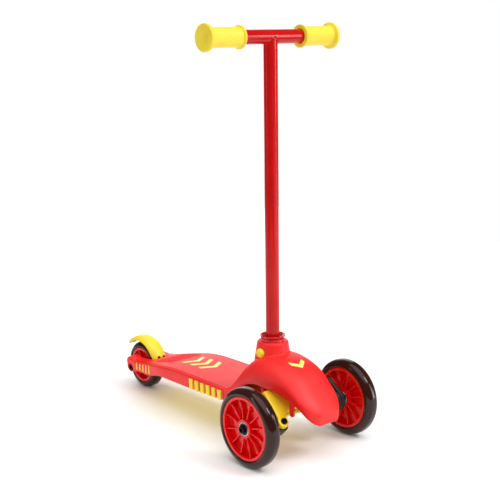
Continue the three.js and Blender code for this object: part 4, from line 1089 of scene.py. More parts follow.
            start = lines.half_at(y + wide) - lines.wall - lines.draft
            low = lines.low_at(y) + self.tray_floor + GAP * 3
            self.pierce(made, start, y - wide, y + wide, low, self.room_half)
        return made

    def core(self, x: float, y: float, down: float, up: float) -> Object:
        """The hole of a tray screw, from below the deck's lower edge to above it."""
        low = self.lines.low_at(y)
        return rod(SCREW_CORE_R, low - down, low + up, Way.Z, (x, y, 0), SCREW_STEPS)

    def pierce(self, made: Object, start: float, *ends: float) -> None:
        """Cut an opening through both side walls, from a distance from the middle outwards."""
        combine(made, Blend.CUT, *(side_block(s, start, self.past_x, *ends) for s in (-1, 1)))

    def groove(self, side: float) -> Object:
        """Make the thin bar that cuts the line along the deck's edge.

        Args:
            side: 1 for the left, -1 for the right.

        Returns:
            The bar.
        """
        loops, half = [], self.groove_half
        for y in spread(self.lines.seam - half, self.groove_end, 70):
            x = side * (self.lines.half_at(y) - self.groove_in)
            z = self.lines.deck_skin(x, y)
            low, high = z - self.groove_deep, z + self.groove_over
            loops.append([(x - half, y, low), (x + half, y, low), (x + half, y, high), (x - half, y, high)])
        return loft(loops)

    def ridge(self, y: float) -> Object:
        """Make a rounded traction rib across the deck.

        Args:
            y: Where it lies.

        Returns:
            The rib.
        """
        loops, dome, half = [], arc((0, 0), 1, 0, 180, 8), self.ridge_wide / 2
        for share in spread(-1, 1, 24):
            x = share * self.ridge_half
            z = self.lines.deck_skin(x, y)
            tall = max(self.ridge_high * min(1, (1 - abs(share)) * self.ridge_ends), self.ridge_low)
            foot = z - self.ridge_sunk
            over = [(x, y + u * half, z + v * tall) for u, v in dome]
            loops.append([*over, (x, y - half, foot), (x, y + half, foot)])
        return loft(loops)

    def build(self) -> None:
        """Mould the deck, press its groove and add its ribs."""
        made = soften(self.shell(), voxel=1.15, rounds=5)
        combine(made, Blend.CUT, *pair(self.groove))
        ridges = [self.ridge(self.ridge_y + k * self.ridge_pitch) for k in range(self.ridges)]
        finish(shade(merged(made, *ridges), 50), "deck_shell", RED_SHELL, "chassis", "deck_top")
        self.build_tray()

    def tray_section(self, y: float) -> list[Spot]:
        """Give a closed section of the tray.

        Args:
            y: Where it lies.

        Returns:
            Its points.
        """
        lines, floor, (keel_from, keel_to) = self.lines, self.tray_floor, self.keel_y
        out = lines.half_at(y) - lines.wall - GAP * 2 - self.tray_draft
        low = lines.low_at(y) + GAP
        fade = min(smooth((y - keel_from) / self.keel_slope), smooth((keel_to - y) / self.keel_slope))
        keel_low = mix(low, min(self.keel_z, low), fade)
        high = min(low + self.side_high, lines.top_at(y) - lines.fall_at(y) - self.tray_under)
        keel = min(self.keel_half, out - self.keel_in)
        flat = keel - self.keel_draft
        right = [
            (flat, keel_low), (keel, low), (out - self.tray_draft, low), (out, mix(low, high, 0.5)),
            (out, high), (out - floor, high), (out - floor, low + floor), (keel, low + floor),
            (flat, min(keel_low, low) + floor),
        ]
        return [(x, y, z) for x, z in right] + [(-x, y, z) for x, z in reversed(right)]

    def tray_rib(self, side: float, shape: Sequence[Flat], start: float, end: float) -> Object:
        """Mould a rib that shows in an opening of the deck, with rounded edges.

        Args:
            side: 1 for the left, -1 for the right.
            shape: Its outline from behind, on the left.
            start: Front of its opening.
            end: Rear of its opening.

        Returns:
            The rib.
        """
        return bevel(prism([(side * x, z) for x, z in shape], start + GAP, end - GAP, Way.Y), width=0.7)

    def build_tray(self) -> None:
        """Mould the tray with its keel pockets and the ribs that show through the deck."""
        lines, (front, end), slope = self.lines, self.keel_y, self.keel_slope
        ys = spread(lines.seam + GAP, front, 3)[:-1] + spread(front, front + slope, 5)[:-1]
        ys += spread(front + slope, end - slope, 24)[:-1] + spread(end - slope, end, 5)[:-1]
        ys += spread(end, self.hollow_end - GAP, 22)
        made = loft([self.tray_section(y) for y in ys])
        combine(made, Blend.CUT, self.slot_room(lines.wall + GAP))
        self.cut_pockets(made)
        for x, y in self.tray_screws:
            combine(made, Blend.CUT, self.core(x, y, self.tray_past, self.tray_core_up))
        soften(made, voxel=1.1, rounds=4)
        ribs = self.notch_ribs() + self.flute_ribs()
        finish(merged(made, *ribs), "tray_shell", YELLOW, "chassis", "under_tray")

    def cut_pockets(self, made: Object) -> None:
        """Press the shallow pockets into both sides of the keel."""
        (front, end), gap = self.keel_y, self.pocket_wall
        low, high = self.keel_z - self.tray_past, self.keel_z + self.pocket_deep
        long = (end - front - 2 * self.keel_slope - gap) / self.pockets
        for k in range(self.pockets):
            start = front + 2 * self.keel_slope + k * long
            for side in (-1, 1):
                pocket = side_block(side, *self.pocket_x, start, start + long - gap, low, high)
                combine(made, Blend.CUT, pocket)

    def notch_ribs(self) -> list[Object]:
        """The proud ribs that fill the side notches."""
        lines, ribs = self.lines, []
        out, inner = lines.deck_half + self.rib_proud, lines.deck_half - lines.wall - self.tray_floor
        for start, end in self.notches:
            low, top = lines.low_at(start) + GAP * 2, lines.top_at(end) - self.notch_under - GAP
            shape = [(inner, low), (out - self.tray_draft, low), (out, top), (inner, top)]
            ribs += [self.tray_rib(s, shape, start, end) for s in (-1, 1)]
        return ribs

    def flute_ribs(self) -> list[Object]:
        """The hooked ribs in the slots of the arms."""
        lines, ribs, wide, cut = self.lines, [], self.flute_wide / 2, self.hook_round
        for y in spread(*self.flutes, self.flute_count - 1):
            half, low = lines.half_at(y), lines.low_at(y) + self.tray_floor + GAP * 4
            top, neck = lines.top_at(y) - lines.fall_at(y) - lines.wall, half - lines.wall - GAP * 2
            inner, out = half - lines.wall - self.tray_floor, lines.half_at(y + wide) - GAP
            foot = top - self.hook_high
            hook = [(out, top - cut), (out - cut, top), (neck, top), (neck, foot), (inner, foot)]
            shape = [(inner, low), (out, low), *hook]
            ribs += [self.tray_rib(s, shape, y - wide, y + wide) for s in (-1, 1)]
        return ribs


# Steering


@dataclass
class Steering:
    """The yoke, the two knuckles on its inclined pivots, and the tie rod between them."""

    pivot: Spot = (52, -7.4, 52.9)
    eye_half: float = 8
    eye_r: float = 12.5
    plate: float = 8
    lobe_r: float = 9.2
    lobe_from: float = 140.4  # where the lobe's round starts, in degrees
    shoulder: float = 6
    top: float = 57
    arch_top: float = 16
    web_in: float = 6
    web_z: float = 50
    stop_x: Flat = (28, 31.5)
    stop_z: Flat = (20, 31)
    slab_y: Flat = (30, 152)
    slab_thick: float = 6
    rail_y: Flat = (30, 120)
    rail_wide: float = 4
    rail_high: float = 11
    bush_r: float = 14
    bush_down: float = 18
    bush_up: float = 4
    swing_half: float = 74  # half width of the room that the knuckles swing in
    far: float = 150  # how far the cutters reach
    pivot_bore_r: float = 3.5
    pivot_bore_half: float = 25
    hole_z: Flat = (66, 82)
    reach: float = 40
    lug_r: float = 7
    lug_bore_r: float = 3.3
    arm_in_shares: Flat = (0.7, 0.5)  # of the eye's radius
    arm_low_share: float = 0.8
    web_low_share: float = 0.3
    arm_boss_shares: Flat = (0.9, 0.6)  # of the boss's radius, up and down
    sunk: float = 0.6  # how far arm and web run into the flange
    neck_r: float = 8
    bore_x: Flat = (60, 100)
    eye_bore_half: float = 12
    lug_bore_up: float = 4
    rod_half: float = 5
    rod_thick: float = 6.8
    finger_half: float = 4
    finger_z: float = 21
    rod_bore_y: Flat = (-4, 12)
    bolt_end: float = 5.3  # how far a pivot bolt stands out
    bolt_r: float = 3.2
    bolt_head_r: float = 5.2
    bolt_head_high: float = 3.4
    bolt_head_round: float = 0.9
    bolt_side_share: float = 0.7
    bolt_socket: float = 2.3
    bolt_socket_end: float = 1.2
    nut_r: float = 5.8
    nut_high: float = 4.4
    boss_r: float = 14.5
    flange: Flat = (79, 86)
    flange_r: float = 18.5
    flange_top: float = 51
    flange_top_r: float = 9
    flange_shift: float = 4
    boss_from: float = 68.5
    bearing_face: float = 94.5
    post_y: float = POST_Y
    wheel_r: float = FRONT_R

    @property
    def lean(self) -> Matrix:
        """Turns a piece made in the tilted frame of the pivots into its place."""
        origin = metres((0, 0, 0))
        there = metres((0, self.pivot[1], self.pivot[2]))
        return Matrix.Translation(there) @ Matrix.Rotation(-math.pi / 4, 4, "X") @ Matrix.Translation(-origin)

    def leaned(self, made: Object) -> Object:
        """Move a piece out of the tilted frame."""
        made.data.transform(self.lean)
        return made

    @property
    def axle(self) -> Flat:
        """The front axle's Y and Z in the tilted frame."""
        up, back = self.wheel_r - self.pivot[2], -self.pivot[1]
        turn = math.pi / 4
        return (back * math.cos(turn) - up * math.sin(turn), back * math.sin(turn) + up * math.cos(turn))

    def plate_shape(self) -> list[Flat]:
        """Outline of a yoke plate, with its lobes round the pivots and the arch between them."""
        x, lobe, high = self.pivot[0], self.lobe_r, self.arch_top
        out, inner = x + self.shoulder, x - lobe
        left = arc((-x, 0), lobe, self.lobe_from, 360, 24)
        arch = [
            (-inner * (1 - t) ** 2 - 2 * inner * t * (1 - t) - inner / 2 * t * t, high * (1 - (1 - t) ** 2))
            for t in spread(0.1, 1, 8)
        ]
        half = [(-out, lobe), *left, *arch]
        return [(out, self.top), (-out, self.top), *half, *((-u, v) for u, v in reversed(half))]

    def build(self) -> None:
        """Build the yoke, the knuckles with their hardware, and the tie rod."""
        self.build_yoke()
        right = self.knuckle()
        finish(twin(right, flip=True), "knuckle_shell_right", BLACK_NYLON, "steer_right", "knuckle_right")
        finish(right, "knuckle_shell_left", BLACK_NYLON, "steer_left", "knuckle_left")
        self.build_rod()
        self.build_pivots()

    def build_yoke(self) -> None:
        """Mould the two plates, their web, the stops and the slab under the nose."""
        x, half, thick = self.pivot[0], self.eye_half, self.plate
        near, side = half + GAP, half + GAP * 2
        plates = [prism(self.plate_shape(), a, a + thick, Way.Y) for a in (-near - thick, near)]
        web = block(-x + self.web_in, x - self.web_in, -side, side, self.web_z, self.top)
        stops = [side_block(s, *self.stop_x, -side, side, *self.stop_z) for s in (-1, 1)]
        made = self.leaned(combine(plates[0], Blend.JOIN, plates[1], web, *stops))
        combine(made, Blend.JOIN, self.slab())
        reach, screws = self.pivot_bore_half, (*NOSE_SCREWS, DECK_SCREW)
        pivots = [(s * x, 0, 0) for s in (-1, 1)]
        bores = [rod(self.pivot_bore_r, -reach, reach, Way.Y, spot, HOLE_STEPS) for spot in pivots]
        spots = [(s * screw_x, screw_y, 0) for s in (-1, 1) for screw_x, screw_y in screws]
        holes = [rod(SCREW_CORE_R, *self.hole_z, Way.Z, spot, SCREW_STEPS) for spot in spots]
        combine(made, Blend.CUT, *(self.leaned(bore) for bore in bores), *holes)
        soften(made, voxel=0.95, rounds=4)
        finish(made, "yoke_shell", YELLOW, "chassis", "front_yoke")

    def slab(self) -> Object:
        """The slab with its rails, open for the post's sleeve and the swinging knuckles."""
        wide, top, near, (front, end) = SLAB_HALF, SLAB_TOP, self.eye_half + GAP, self.slab_y
        made = block(-wide, wide, front, end, top - self.slab_thick, top)
        low = top - self.rail_high
        rails = [side_block(s, wide - self.rail_wide, wide, *self.rail_y, low, top) for s in (-1, 1)]
        combine(made, Blend.JOIN, *rails)
        sleeve = rod(self.bush_r, top - self.bush_down, top + self.bush_up, Way.Z, (0, self.post_y, 0))
        combine(made, Blend.CUT, sleeve)
        half, far = self.swing_half, self.far
        swing = self.leaned(block(-half, half, -near, near, -far, self.web_z))
        overhang = self.leaned(block(-half, half, -far, -near, -far, far))
        return combine(made, Blend.CUT, swing, overhang)

    def knuckle(self) -> Object:
        """Mould the left knuckle: pivot eye, steering arm, axle boss and wheel-side plate."""
        x, half, r = self.pivot[0], self.eye_half, self.eye_r
        ay, az = self.axle
        near, far = self.flange
        eye = rod(r, -half, half, Way.Y, (x, 0, 0), 56)
        tip = arc((x, self.reach), self.lug_r, 180, 0, 16)
        (inner, rise), (up, down) = self.arm_in_shares, self.arm_boss_shares
        end, boss_r = near + self.sunk, self.boss_r
        arm = [
            (x - r * inner, r * rise), *tip, (end, az + boss_r * up), (end, az - boss_r * down),
            (x, -r * self.arm_low_share),
        ]
        plate_arm = prism(arm, -half + GAP, -GAP, Way.Y)
        web = block(x, end, -half + GAP, half - GAP, -r * self.web_low_share, az + self.sunk)
        boss = rod(boss_r, self.boss_from, far, Way.X, (0, ay, az), 56)
        neck = rod(self.neck_r, near, self.bearing_face, Way.X, (0, ay, az), 48)
        top = (ay - self.flange_shift, self.flange_top - self.flange_top_r)
        shape = arc((ay, az), self.flange_r, 180, 360, 28) + arc(top, self.flange_top_r, 0, 180, 16)
        flange = prism(shape, near, far, Way.X)
        made = combine(eye, Blend.JOIN, plate_arm, web, boss, neck, flange)
        reach = self.eye_bore_half
        bores = [
            rod(AXLE_BORE_R, *self.bore_x, Way.X, (0, ay, az), HOLE_STEPS),
            rod(self.pivot_bore_r, -reach, reach, Way.Y, (x, 0, 0), HOLE_STEPS),
            rod(self.lug_bore_r, -reach, self.lug_bore_up, Way.Y, (x, 0, self.reach), HOLE_STEPS),
        ]
        combine(made, Blend.CUT, *bores)
        return soften(self.leaned(made), voxel=0.75, rounds=3)

    def build_rod(self) -> None:
        """Mould the tie rod with the finger that pushes the centring springs."""
        x, r, z = self.pivot[0], self.rod_half, self.reach
        half, low = self.finger_half, self.finger_z
        finger = [(-half, z - r), (-half, low), (half, low), (half, z - r)]
        shape = [*arc((-x, z), r, 90, 270, 16), *finger, *arc((x, z), r, -90, 90, 16)]
        made = prism(shape, 0, self.rod_thick, Way.Y)
        lugs = [(s * x, 0, z) for s in (-1, 1)]
        bores = [rod(self.lug_bore_r, *self.rod_bore_y, Way.Y, spot, HOLE_STEPS) for spot in lugs]
        made = bevel(self.leaned(combine(made, Blend.CUT, *bores)), width=0.6)
        finish(made, "tie_rod_bar", BLACK_NYLON, "link", "tie_rod")

    def build_pivots(self) -> None:
        """Turn the pivot bolts with their hex sockets, and cut their nuts."""
        front = -self.eye_half - 2 * GAP - self.plate
        end, r, shank = -front + self.bolt_end, self.bolt_head_r, self.bolt_r
        high = self.bolt_head_high
        top = front - high
        profile = [
            (0, end), (shank, end), (shank, front), (r, front), (r, front - high * self.bolt_side_share),
            (r - self.bolt_head_round, top), (0, top),
        ]
        socket_end = front - self.bolt_socket_end
        bolt = spun(profile, Way.Y, steps=48)
        combine(bolt, Blend.CUT, hex_bar(self.bolt_socket, top - 1, socket_end, Way.Y))
        nut = hex_nut(self.nut_r, self.pivot_bore_r, -front, -front + self.nut_high, Way.Y)
        for side, name in ((1, "left"), (-1, "right")):
            shift = Matrix.Translation((side * self.pivot[0] / 1000, 0, 0))
            for made, piece, look in ((bolt, "pivot_bolt", BLACK_OXIDE), (nut, "pivot_nut", ZINC)):
                placed = shade(self.leaned(twin(made, shift)), 32)
                finish(placed, f"{piece}_{name}_turned", look, "chassis", f"{piece}_{name}")
        bpy.data.objects.remove(bolt)
        bpy.data.objects.remove(nut)


def hex_bar(flat: float, start: float, end: float, way: Way, centre: Spot = (0, 0, 0)) -> Object:
    """A six-sided bar of half the given size across its flats, for a socket or a nut."""
    return rod(flat / math.cos(math.pi / 6), start, end, way, centre, 6)


def hex_nut(
    corner: float, bore: float, start: float, end: float, way: Way, centre: Spot = (0, 0, 0)
) -> Object:
    """A nut with chamfered corners.

    Args:
        corner: Radius to its corners.
        bore: Radius of its hole.
        start: Its first face.
        end: Its last face.
        way: Its axis.
        centre: A point on the axis.

    Returns:
        The nut.
    """
    made = rod(corner, start, end, way, centre, 6)
    low, high = min(start, end), max(start, end)
    face, cut = corner * NUT_FACE_SHARE, NUT_CHAMFER
    cone = [(0, low), (face, low), (corner, low + cut), (corner, high - cut), (face, high), (0, high)]
    combine(made, Blend.KEEP, spun([(r * NUT_ROOM_SHARE, h) for r, h in cone], way, centre, 48))
    return combine(made, Blend.CUT, rod(bore, low - 1, high + 1, way, centre, HOLE_STEPS))


# Wheels


@dataclass
class Wheel:
    """A cast tyre on a ribbed hub with two bearings."""

    centre: Spot
    outer: float
    rim: float
    boss: float
    blades: int
    half: float = 12.5
    corner: float = 10.5
    corner_share: float = 0.85
    lip: Rows = ((0.3, 1.8), (1.2, 0.7))  # out from the rim, in from the tyre's side
    turn_from: float = 0.12  # angle where its round starts, in radians
    round_share: float = 0.3  # place of a round's middle point
    line_deep: float = 0.02  # the mould's line
    line_halves: Flat = (0.9, 0.5)
    hub_half: float = 11.6
    hub_round: float = 0.7
    rim_thick: float = 4.6
    web_half: float = 2.4
    web_round: float = 0.3
    web_into: float = 1
    seat_r: float = 6.6
    seat_round: float = 0.2
    blade_half: float = 0.95
    blade_in: float = 2.2
    blade_dip: float = 1.6
    blade_into: float = 0.6
    bearing_in: float = 4.7
    bearing_r: float = 11
    bearing_bore: float = 4.3
    bearing_wide: float = 7
    bearing_round: float = 0.3
    race_rows: Rows = ((9.6, 0), (9.4, 1.4), (6, 1.4), (5.8, 0), (4.6, 0))  # radius, depth under its face
    seal_rows: Rows = (
        (6.1, 1.3), (9.3, 1.3), (9.3, 0.4), (8.9, 0.3), (8.6, 0.6), (6.9, 0.6), (6.6, 0.35), (6.1, 0.5),
    )

    def tyre(self) -> Object:
        """Spin the tyre, with the fine line where its mould closed."""
        corner, half = min(self.corner, (self.outer - self.rim) * self.corner_share), self.half
        low = self.outer - corner
        lip = [(self.rim + out, half - inner) for out, inner in self.lip]
        angles = spread(self.turn_from, math.pi / 2, 12)
        turn = [(low + corner * math.sin(a), half - corner + corner * math.cos(a)) for a in angles]
        line = [(self.outer - self.line_deep, h) for h in self.line_halves]
        right = [*lip, (low, half), *turn, *line]
        return shade(spun([*right, (self.outer, 0), *mirrored(right)], Way.X, self.centre, 144))

    def ring(self, inner: float, outer: float, half: float, round_off: float, steps: int) -> Object:
        """Spin a ring about the wheel's middle with rounded edges.

        Args:
            inner: Its inner radius.
            outer: Its outer radius.
            half: Half its width.
            round_off: Size of its rounds.
            steps: Facets round it.

        Returns:
            The ring.
        """
        o, part = round_off, round_off * self.round_share
        profile = [
            (inner, half - o), (inner + part, half - part), (inner + o, half), (outer - o, half),
            (outer - part, half - part), (outer, half - o),
        ]
        return spun([*profile, *mirrored(profile)], Way.X, self.centre, steps)

    def hub(self) -> Object:
        """Spin the rim, web and boss, and set the thin blades between them."""
        inset, into = self.rim - self.rim_thick, self.web_into
        rim = self.ring(inset, self.rim, self.hub_half, self.hub_round, 128)
        web = self.ring(self.boss - into, inset + into, self.web_half, self.web_round, 96)
        boss = self.ring(self.bearing_r + GAP, self.boss, self.hub_half, self.hub_round, 72)
        seat = self.ring(self.seat_r, self.bearing_r + into, self.bearing_in - GAP, self.seat_round, 48)
        blade = self.blade(inset)
        middle = metres(self.centre)
        home = Matrix.Translation(-middle)
        copies = []
        for k in range(self.blades):
            turn = Matrix.Rotation(math.tau * (k + 0.5) / self.blades, 4, "X")
            copies.append(twin(blade, Matrix.Translation(middle) @ turn @ home))
        bpy.data.objects.remove(blade)
        return shade(merged(rim, web, boss, seat, *copies))

    def blade(self, inset: float) -> Object:
        """The thin rib above the boss, up to the rim's inner radius, with waisted sides."""
        x, y, z = self.centre
        edge, half = self.hub_half - self.blade_in, self.blade_half
        dip = edge - self.blade_dip
        foot, head = z + self.boss - self.blade_into, z + inset + self.blade_into
        waist = z + mix(self.boss, inset, 0.5)
        shape = [
            (x - edge, foot), (x - dip, waist), (x - edge, head),
            (x + edge, head), (x + dip, waist), (x + edge, foot),
        ]
        return bevel(prism(shape, y - half, y + half, Way.Y), width=0.5)

    def bearing(self, side: float) -> Object:
        """Spin the two races of a ball bearing and what lies between them.

        Args:
            side: 1 for the left, -1 for the right.

        Returns:
            The bearing.
        """
        near, far = self.bearing_in, self.bearing_in + self.bearing_wide
        r, bore, cut = self.bearing_r, self.bearing_bore, self.bearing_round
        races = [(a, far - deep) for a, deep in self.race_rows]
        profile = [(bore, near), (r, near), (r, far - cut), (r - cut, far), *races, (bore, far - cut)]
        return shade(spun([(a, side * b) for a, b in profile], Way.X, self.centre), 25)

    def seal(self, side: float) -> Object:
        """Spin the bearing's dished rubber seal."""
        far = self.bearing_in + self.bearing_wide
        return shade(spun([(a, side * (far - deep)) for a, deep in self.seal_rows], Way.X, self.centre), 30)

    def build(self, body: str, names: Sequence[str], bearings: Sequence[tuple[str, float]]) -> None:
        """Build the wheel's pieces.

        Args:
            body: The body that it turns with.
            names: Nodes of its tyre, hub and spacer.
            bearings: Each bearing's node with the side that it lies on.
        """
        tyre_node, hub_node, spacer_node = names
        finish(self.tyre(), f"{tyre_node}_cast", SMOKE, body, tyre_node)
        finish(self.hub(), f"{hub_node}_ribbed", RED_HUB, body, hub_node)
        for name, side in bearings:
            finish(self.bearing(side), f"{name}_ring", ZINC, body, name)
            # each bearing's seal is dull black, partly its own colour and partly painted shade for the
            # bearing's dark hollow
            finish(self.seal(side), f"{name}_seal", SEAL_WITH_PAINTED_SHADE, body)
        dress(ZINC, spacer_node)


@dataclass
class AxleBolts:
    """The socket-head bolts that hold the wheels, and the nut of the rear one."""

    head_r: float = 6.4
    rear_head_r: float = 5.2
    head_high: float = 5
    rear_head_high: float = 4
    shank_r: float = 4
    socket: float = 3
    socket_share: float = 0.45
    dome_shares: Rows = ((1, 0.6), (0.97, 0.8), (0.86, 0.95), (0.7, 1))  # of radius and height
    recess_deep: float = 4.3
    nut_bore: float = 4.3

    def bolt(self, start: float, seat: float, centre: Spot, high: float, r: float) -> Object:
        """Turn a bolt along X with a domed head and a hex socket.

        Args:
            start: The end of its shank.
            seat: Where its head lies.
            centre: A point on its axis.
            high: Height of the head.
            r: Radius of the head.

        Returns:
            The bolt.
        """
        way, shank = 1 if seat > start else -1, self.shank_r
        dome = [(r * out, seat + way * high * up) for out, up in self.dome_shares]
        profile = [(0, start), (shank, start), (shank, seat), (r, seat), *dome, (0, seat + way * high)]
        made = spun(profile, Way.X, centre, 56)
        ends = sorted((seat + way * high * self.socket_share, seat + way * (high + 1)))
        return shade(combine(made, Blend.CUT, hex_bar(self.socket, *ends, Way.X, centre)), 32)

    def build(self, rear: Spot, arm_half: float) -> None:
        """Build the bolts from the boxes of their nodes."""
        for name, side in (("left", 1), ("right", -1)):
            bolt = f"front_axle_bolt_{name}"
            low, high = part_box(bolt)
            start, end = (low.x, high.x) if side > 0 else (high.x, low.x)
            seat = end * 1000 - side * self.head_high
            made = self.bolt(start * 1000, seat, (0, 0, FRONT_R), self.head_high, self.head_r)
            finish(made, f"{bolt}_turned", BLACK_OXIDE, f"steer_{name}", bolt)
        seat, end = arm_half - self.recess_deep, arm_half - GAP
        made = self.bolt(end, -seat, rear, self.rear_head_high, self.rear_head_r)
        finish(made, "rear_axle_bolt_turned", BLACK_OXIDE, "chassis", "rear_axle_bolt")
        nut = bevel(hex_nut(self.head_r, self.nut_bore, seat, end, Way.X, rear), width=0.2, segments=2)
        finish(nut, "rear_axle_nut_cut", BLACK_OXIDE, "chassis", "rear_axle_nut")


# Handlebar


@dataclass
class Handlebar:
    """The welded T of tube, its grips, the socket ring that it stands in and the release button."""

    post_y: float = POST_Y
    bar_z: float = 652
    tube_r: float = 11.1
    tube_wall: float = 1.6
    tube_round: float = 0.3
    tube_short: float = 3.3  # how far the tube ends inside the grip
    cope: float = 0.8
    trim: float = 22
    trim_past: float = 40
    bead_r: float = 1.15
    ripple: float = 0.22
    ripples: int = 16
    bead_share: float = 0.985  # how deep the bead follows the saddle
    bar_half: float = 131
    foot: float = 111.3
    grip_long: float = 70
    flange_r: Flat = (18.1, 21)  # inner, outer
    grip_r: Flat = (15, 15.6)  # at its waist, at its ends
    waist_power: float = 1.6
    waist_in: Flat = (6.5, 10)  # how far from the grip's ends its waist starts
    inner_lip: Rows = ((-1, 0), (-0.2, 0.4), (0, 1.2), (0, 2.4), (-0.4, 3.3))  # beyond the flange, along
    inner_neck: Rows = ((1, 4), (0.2, 4.6), (0, 5.6))
    outer_neck: Rows = ((0.3, -8.2), (1.6, -7))
    outer_lip: Rows = ((-1.4, -5.9), (-0.3, -5.2), (0, -4.2), (0, -1.4), (-0.5, -0.4), (-1.5, 0))
    end_face: Rows = ((8.2, 0), (7.6, -0.5), (0, -0.7), (0, -3))
    mouth: float = 0.5
    bore_end: float = 3
    sleeve_r: float = 14
    ring_r: float = 20.8
    ring_low: float = 168.3
    ring_high: float = 9.6
    ring_foot: Rows = ((0.93, 0), (0.905, 0.8))  # share of its radius, height
    ring_shares: Rows = (
        (0.9, 0.3), (0.93, 0.55), (0.985, 0.78), (1, 0.88), (0.99, 0.96), (0.96, 1), (0.9, 0.97),
    )
    bowl_shares: Rows = ((0.35, 0.56), (0.15, 0.45), (0, 0.4))  # from the bore to its radius, height
    button_z: float = 151
    button_r: float = 8
    button_face: float = 27.7
    button_high: float = 4
    button_power: float = 1.2
    dome_end: float = 1.45  # angle where its dome ends, in radians
    button_back: float = 21.5
    button_round: float = 0.3
    stem_r: float = 2.9
    stem_end: float = 13.1

    def button_hole(self, reach: float) -> Object:
        """The hole that the button's stem passes, for cutting."""
        return rod(BUTTON_BORE_R, -reach, 0, Way.X, (0, self.post_y, self.button_z), HOLE_STEPS)

    def tube(self) -> Object:
        """Join post and crossbar, drill the pin's hole and lay the weld round the joint."""
        r, inner, cut = self.tube_r, self.tube_r - self.tube_wall, self.tube_round
        centre, end = (0, self.post_y, self.bar_z), self.bar_half - self.tube_short
        side = [(r - cut, end), (r, end - cut), (r, cut - end), (r - cut, -end)]
        bar = spun([(inner, -end), (inner, end), *side], Way.X, centre)
        side = [(r - cut, self.foot), (r, self.foot + cut), (r, self.bar_z)]
        post = spun([(inner, self.foot), *side, (inner, self.bar_z)], Way.Z, (0, self.post_y, 0))
        past, wide = self.trim_past, self.trim
        combine(post, Blend.CUT, rod(r - self.cope, -past, past, Way.X, centre, 64))
        trim = block(-wide, wide, self.post_y - wide, self.post_y + wide, 0, self.bar_z)
        combine(post, Blend.KEEP, trim)
        combine(bar, Blend.JOIN, post)
        combine(bar, Blend.CUT, self.button_hole(reach=15))
        return shade(merged(bar, self.weld()), 30)

    def weld(self) -> Object:
        """A rippled bead along the saddle where the post meets the crossbar."""
        loops, r, up, steps = [], self.tube_r, Vector((0, 0, 1)), 144
        turns = spread(0, math.tau, 10)[:-1]
        for k in range(steps + 1):
            a = math.tau * k / steps
            out = Vector((math.cos(a), math.sin(a), 0))
            high = self.bar_z - r * abs(out.x) * self.bead_share
            middle = Vector((r * out.x, self.post_y + r * out.y, high))
            thick = self.bead_r + self.ripple * abs(math.sin(a * self.ripples))
            loops.append([middle + (out * math.cos(t) + up * math.sin(t)) * thick for t in turns])
        return loft(loops)

    def grip(self) -> Object:
        """Spin the left grip: a flange at each end, a slight waist and a closed outer end."""
        end, r, (waist, body) = self.bar_half, self.tube_r + GAP, self.grip_r
        start, (inner, outer), mouth = end - self.grip_long, self.flange_r, self.mouth
        near, far, power = start + self.waist_in[0], end - self.waist_in[1], self.waist_power
        profile = [
            (r, start + mouth), (r + mouth, start),
            *((inner + out, start + x) for out, x in self.inner_lip),
            *((body + out, start + x) for out, x in self.inner_neck),
            *((mix(waist, body, abs(2 * t - 1) ** power), mix(near, far, t)) for t in spread(0, 1, 14)),
            *((body + out, end + x) for out, x in self.outer_neck),
            *((outer + out, end + x) for out, x in self.outer_lip),
            *((out, end + x) for out, x in self.end_face),
            (r, end - self.bore_end),
        ]
        return shade(spun(profile, Way.X, (0, self.post_y, self.bar_z), 96))

    def socket(self) -> Object:
        """Spin the flared ring and the sleeve under it."""
        bore, low, high, r = self.tube_r + GAP, self.ring_low, self.ring_high, self.ring_r
        profile = [
            (bore, self.foot), (self.sleeve_r, self.foot), (self.sleeve_r, low),
            *((r * share, low + up) for share, up in self.ring_foot),
            *((r * share, low + high * up) for share, up in self.ring_shares),
            *((mix(bore, r, share), low + high * up) for share, up in self.bowl_shares),
        ]
        made = spun(profile, Way.Z, (0, self.post_y, 0), 96)
        return shade(combine(made, Blend.CUT, self.button_hole(reach=20)))

    def button(self) -> Object:
        """Spin the domed button with its stem."""
        r, face, back, cut = self.button_r, self.button_face, self.button_back, self.button_round
        stem, end, high, power = self.stem_r, self.stem_end, self.button_high, self.button_power
        angles = spread(0, self.dome_end, 10)
        dome = [(r * math.sin(a), -face - cut - high * math.cos(a) ** power) for a in angles]
        side = [(r, -face), (r, -back - cut), (r - cut, -back)]
        profile = [*dome, *side, (stem, -back), (stem, -end), (0, -end)]
        return shade(spun(profile, Way.X, (0, self.post_y, self.button_z)))

    def build(self) -> None:
        """Build the pieces from the bar down to the button."""
        finish(self.tube(), "t_bar_welded", RED_TUBE, "handlebar", "t_bar")
        left = self.grip()
        finish(twin(left, flip=True), "grip_right_soft", YELLOW_GRIP, "handlebar", "grip_right")
        finish(left, "grip_left_soft", YELLOW_GRIP, "handlebar", "grip_left")
        finish(self.socket(), "socket_ring", RED_RING, "chassis", "handle_socket")
        finish(self.button(), "release_button_domed", YELLOW, "button", "release_button")
        dress(ZINC, "snap_spring")


# Brake


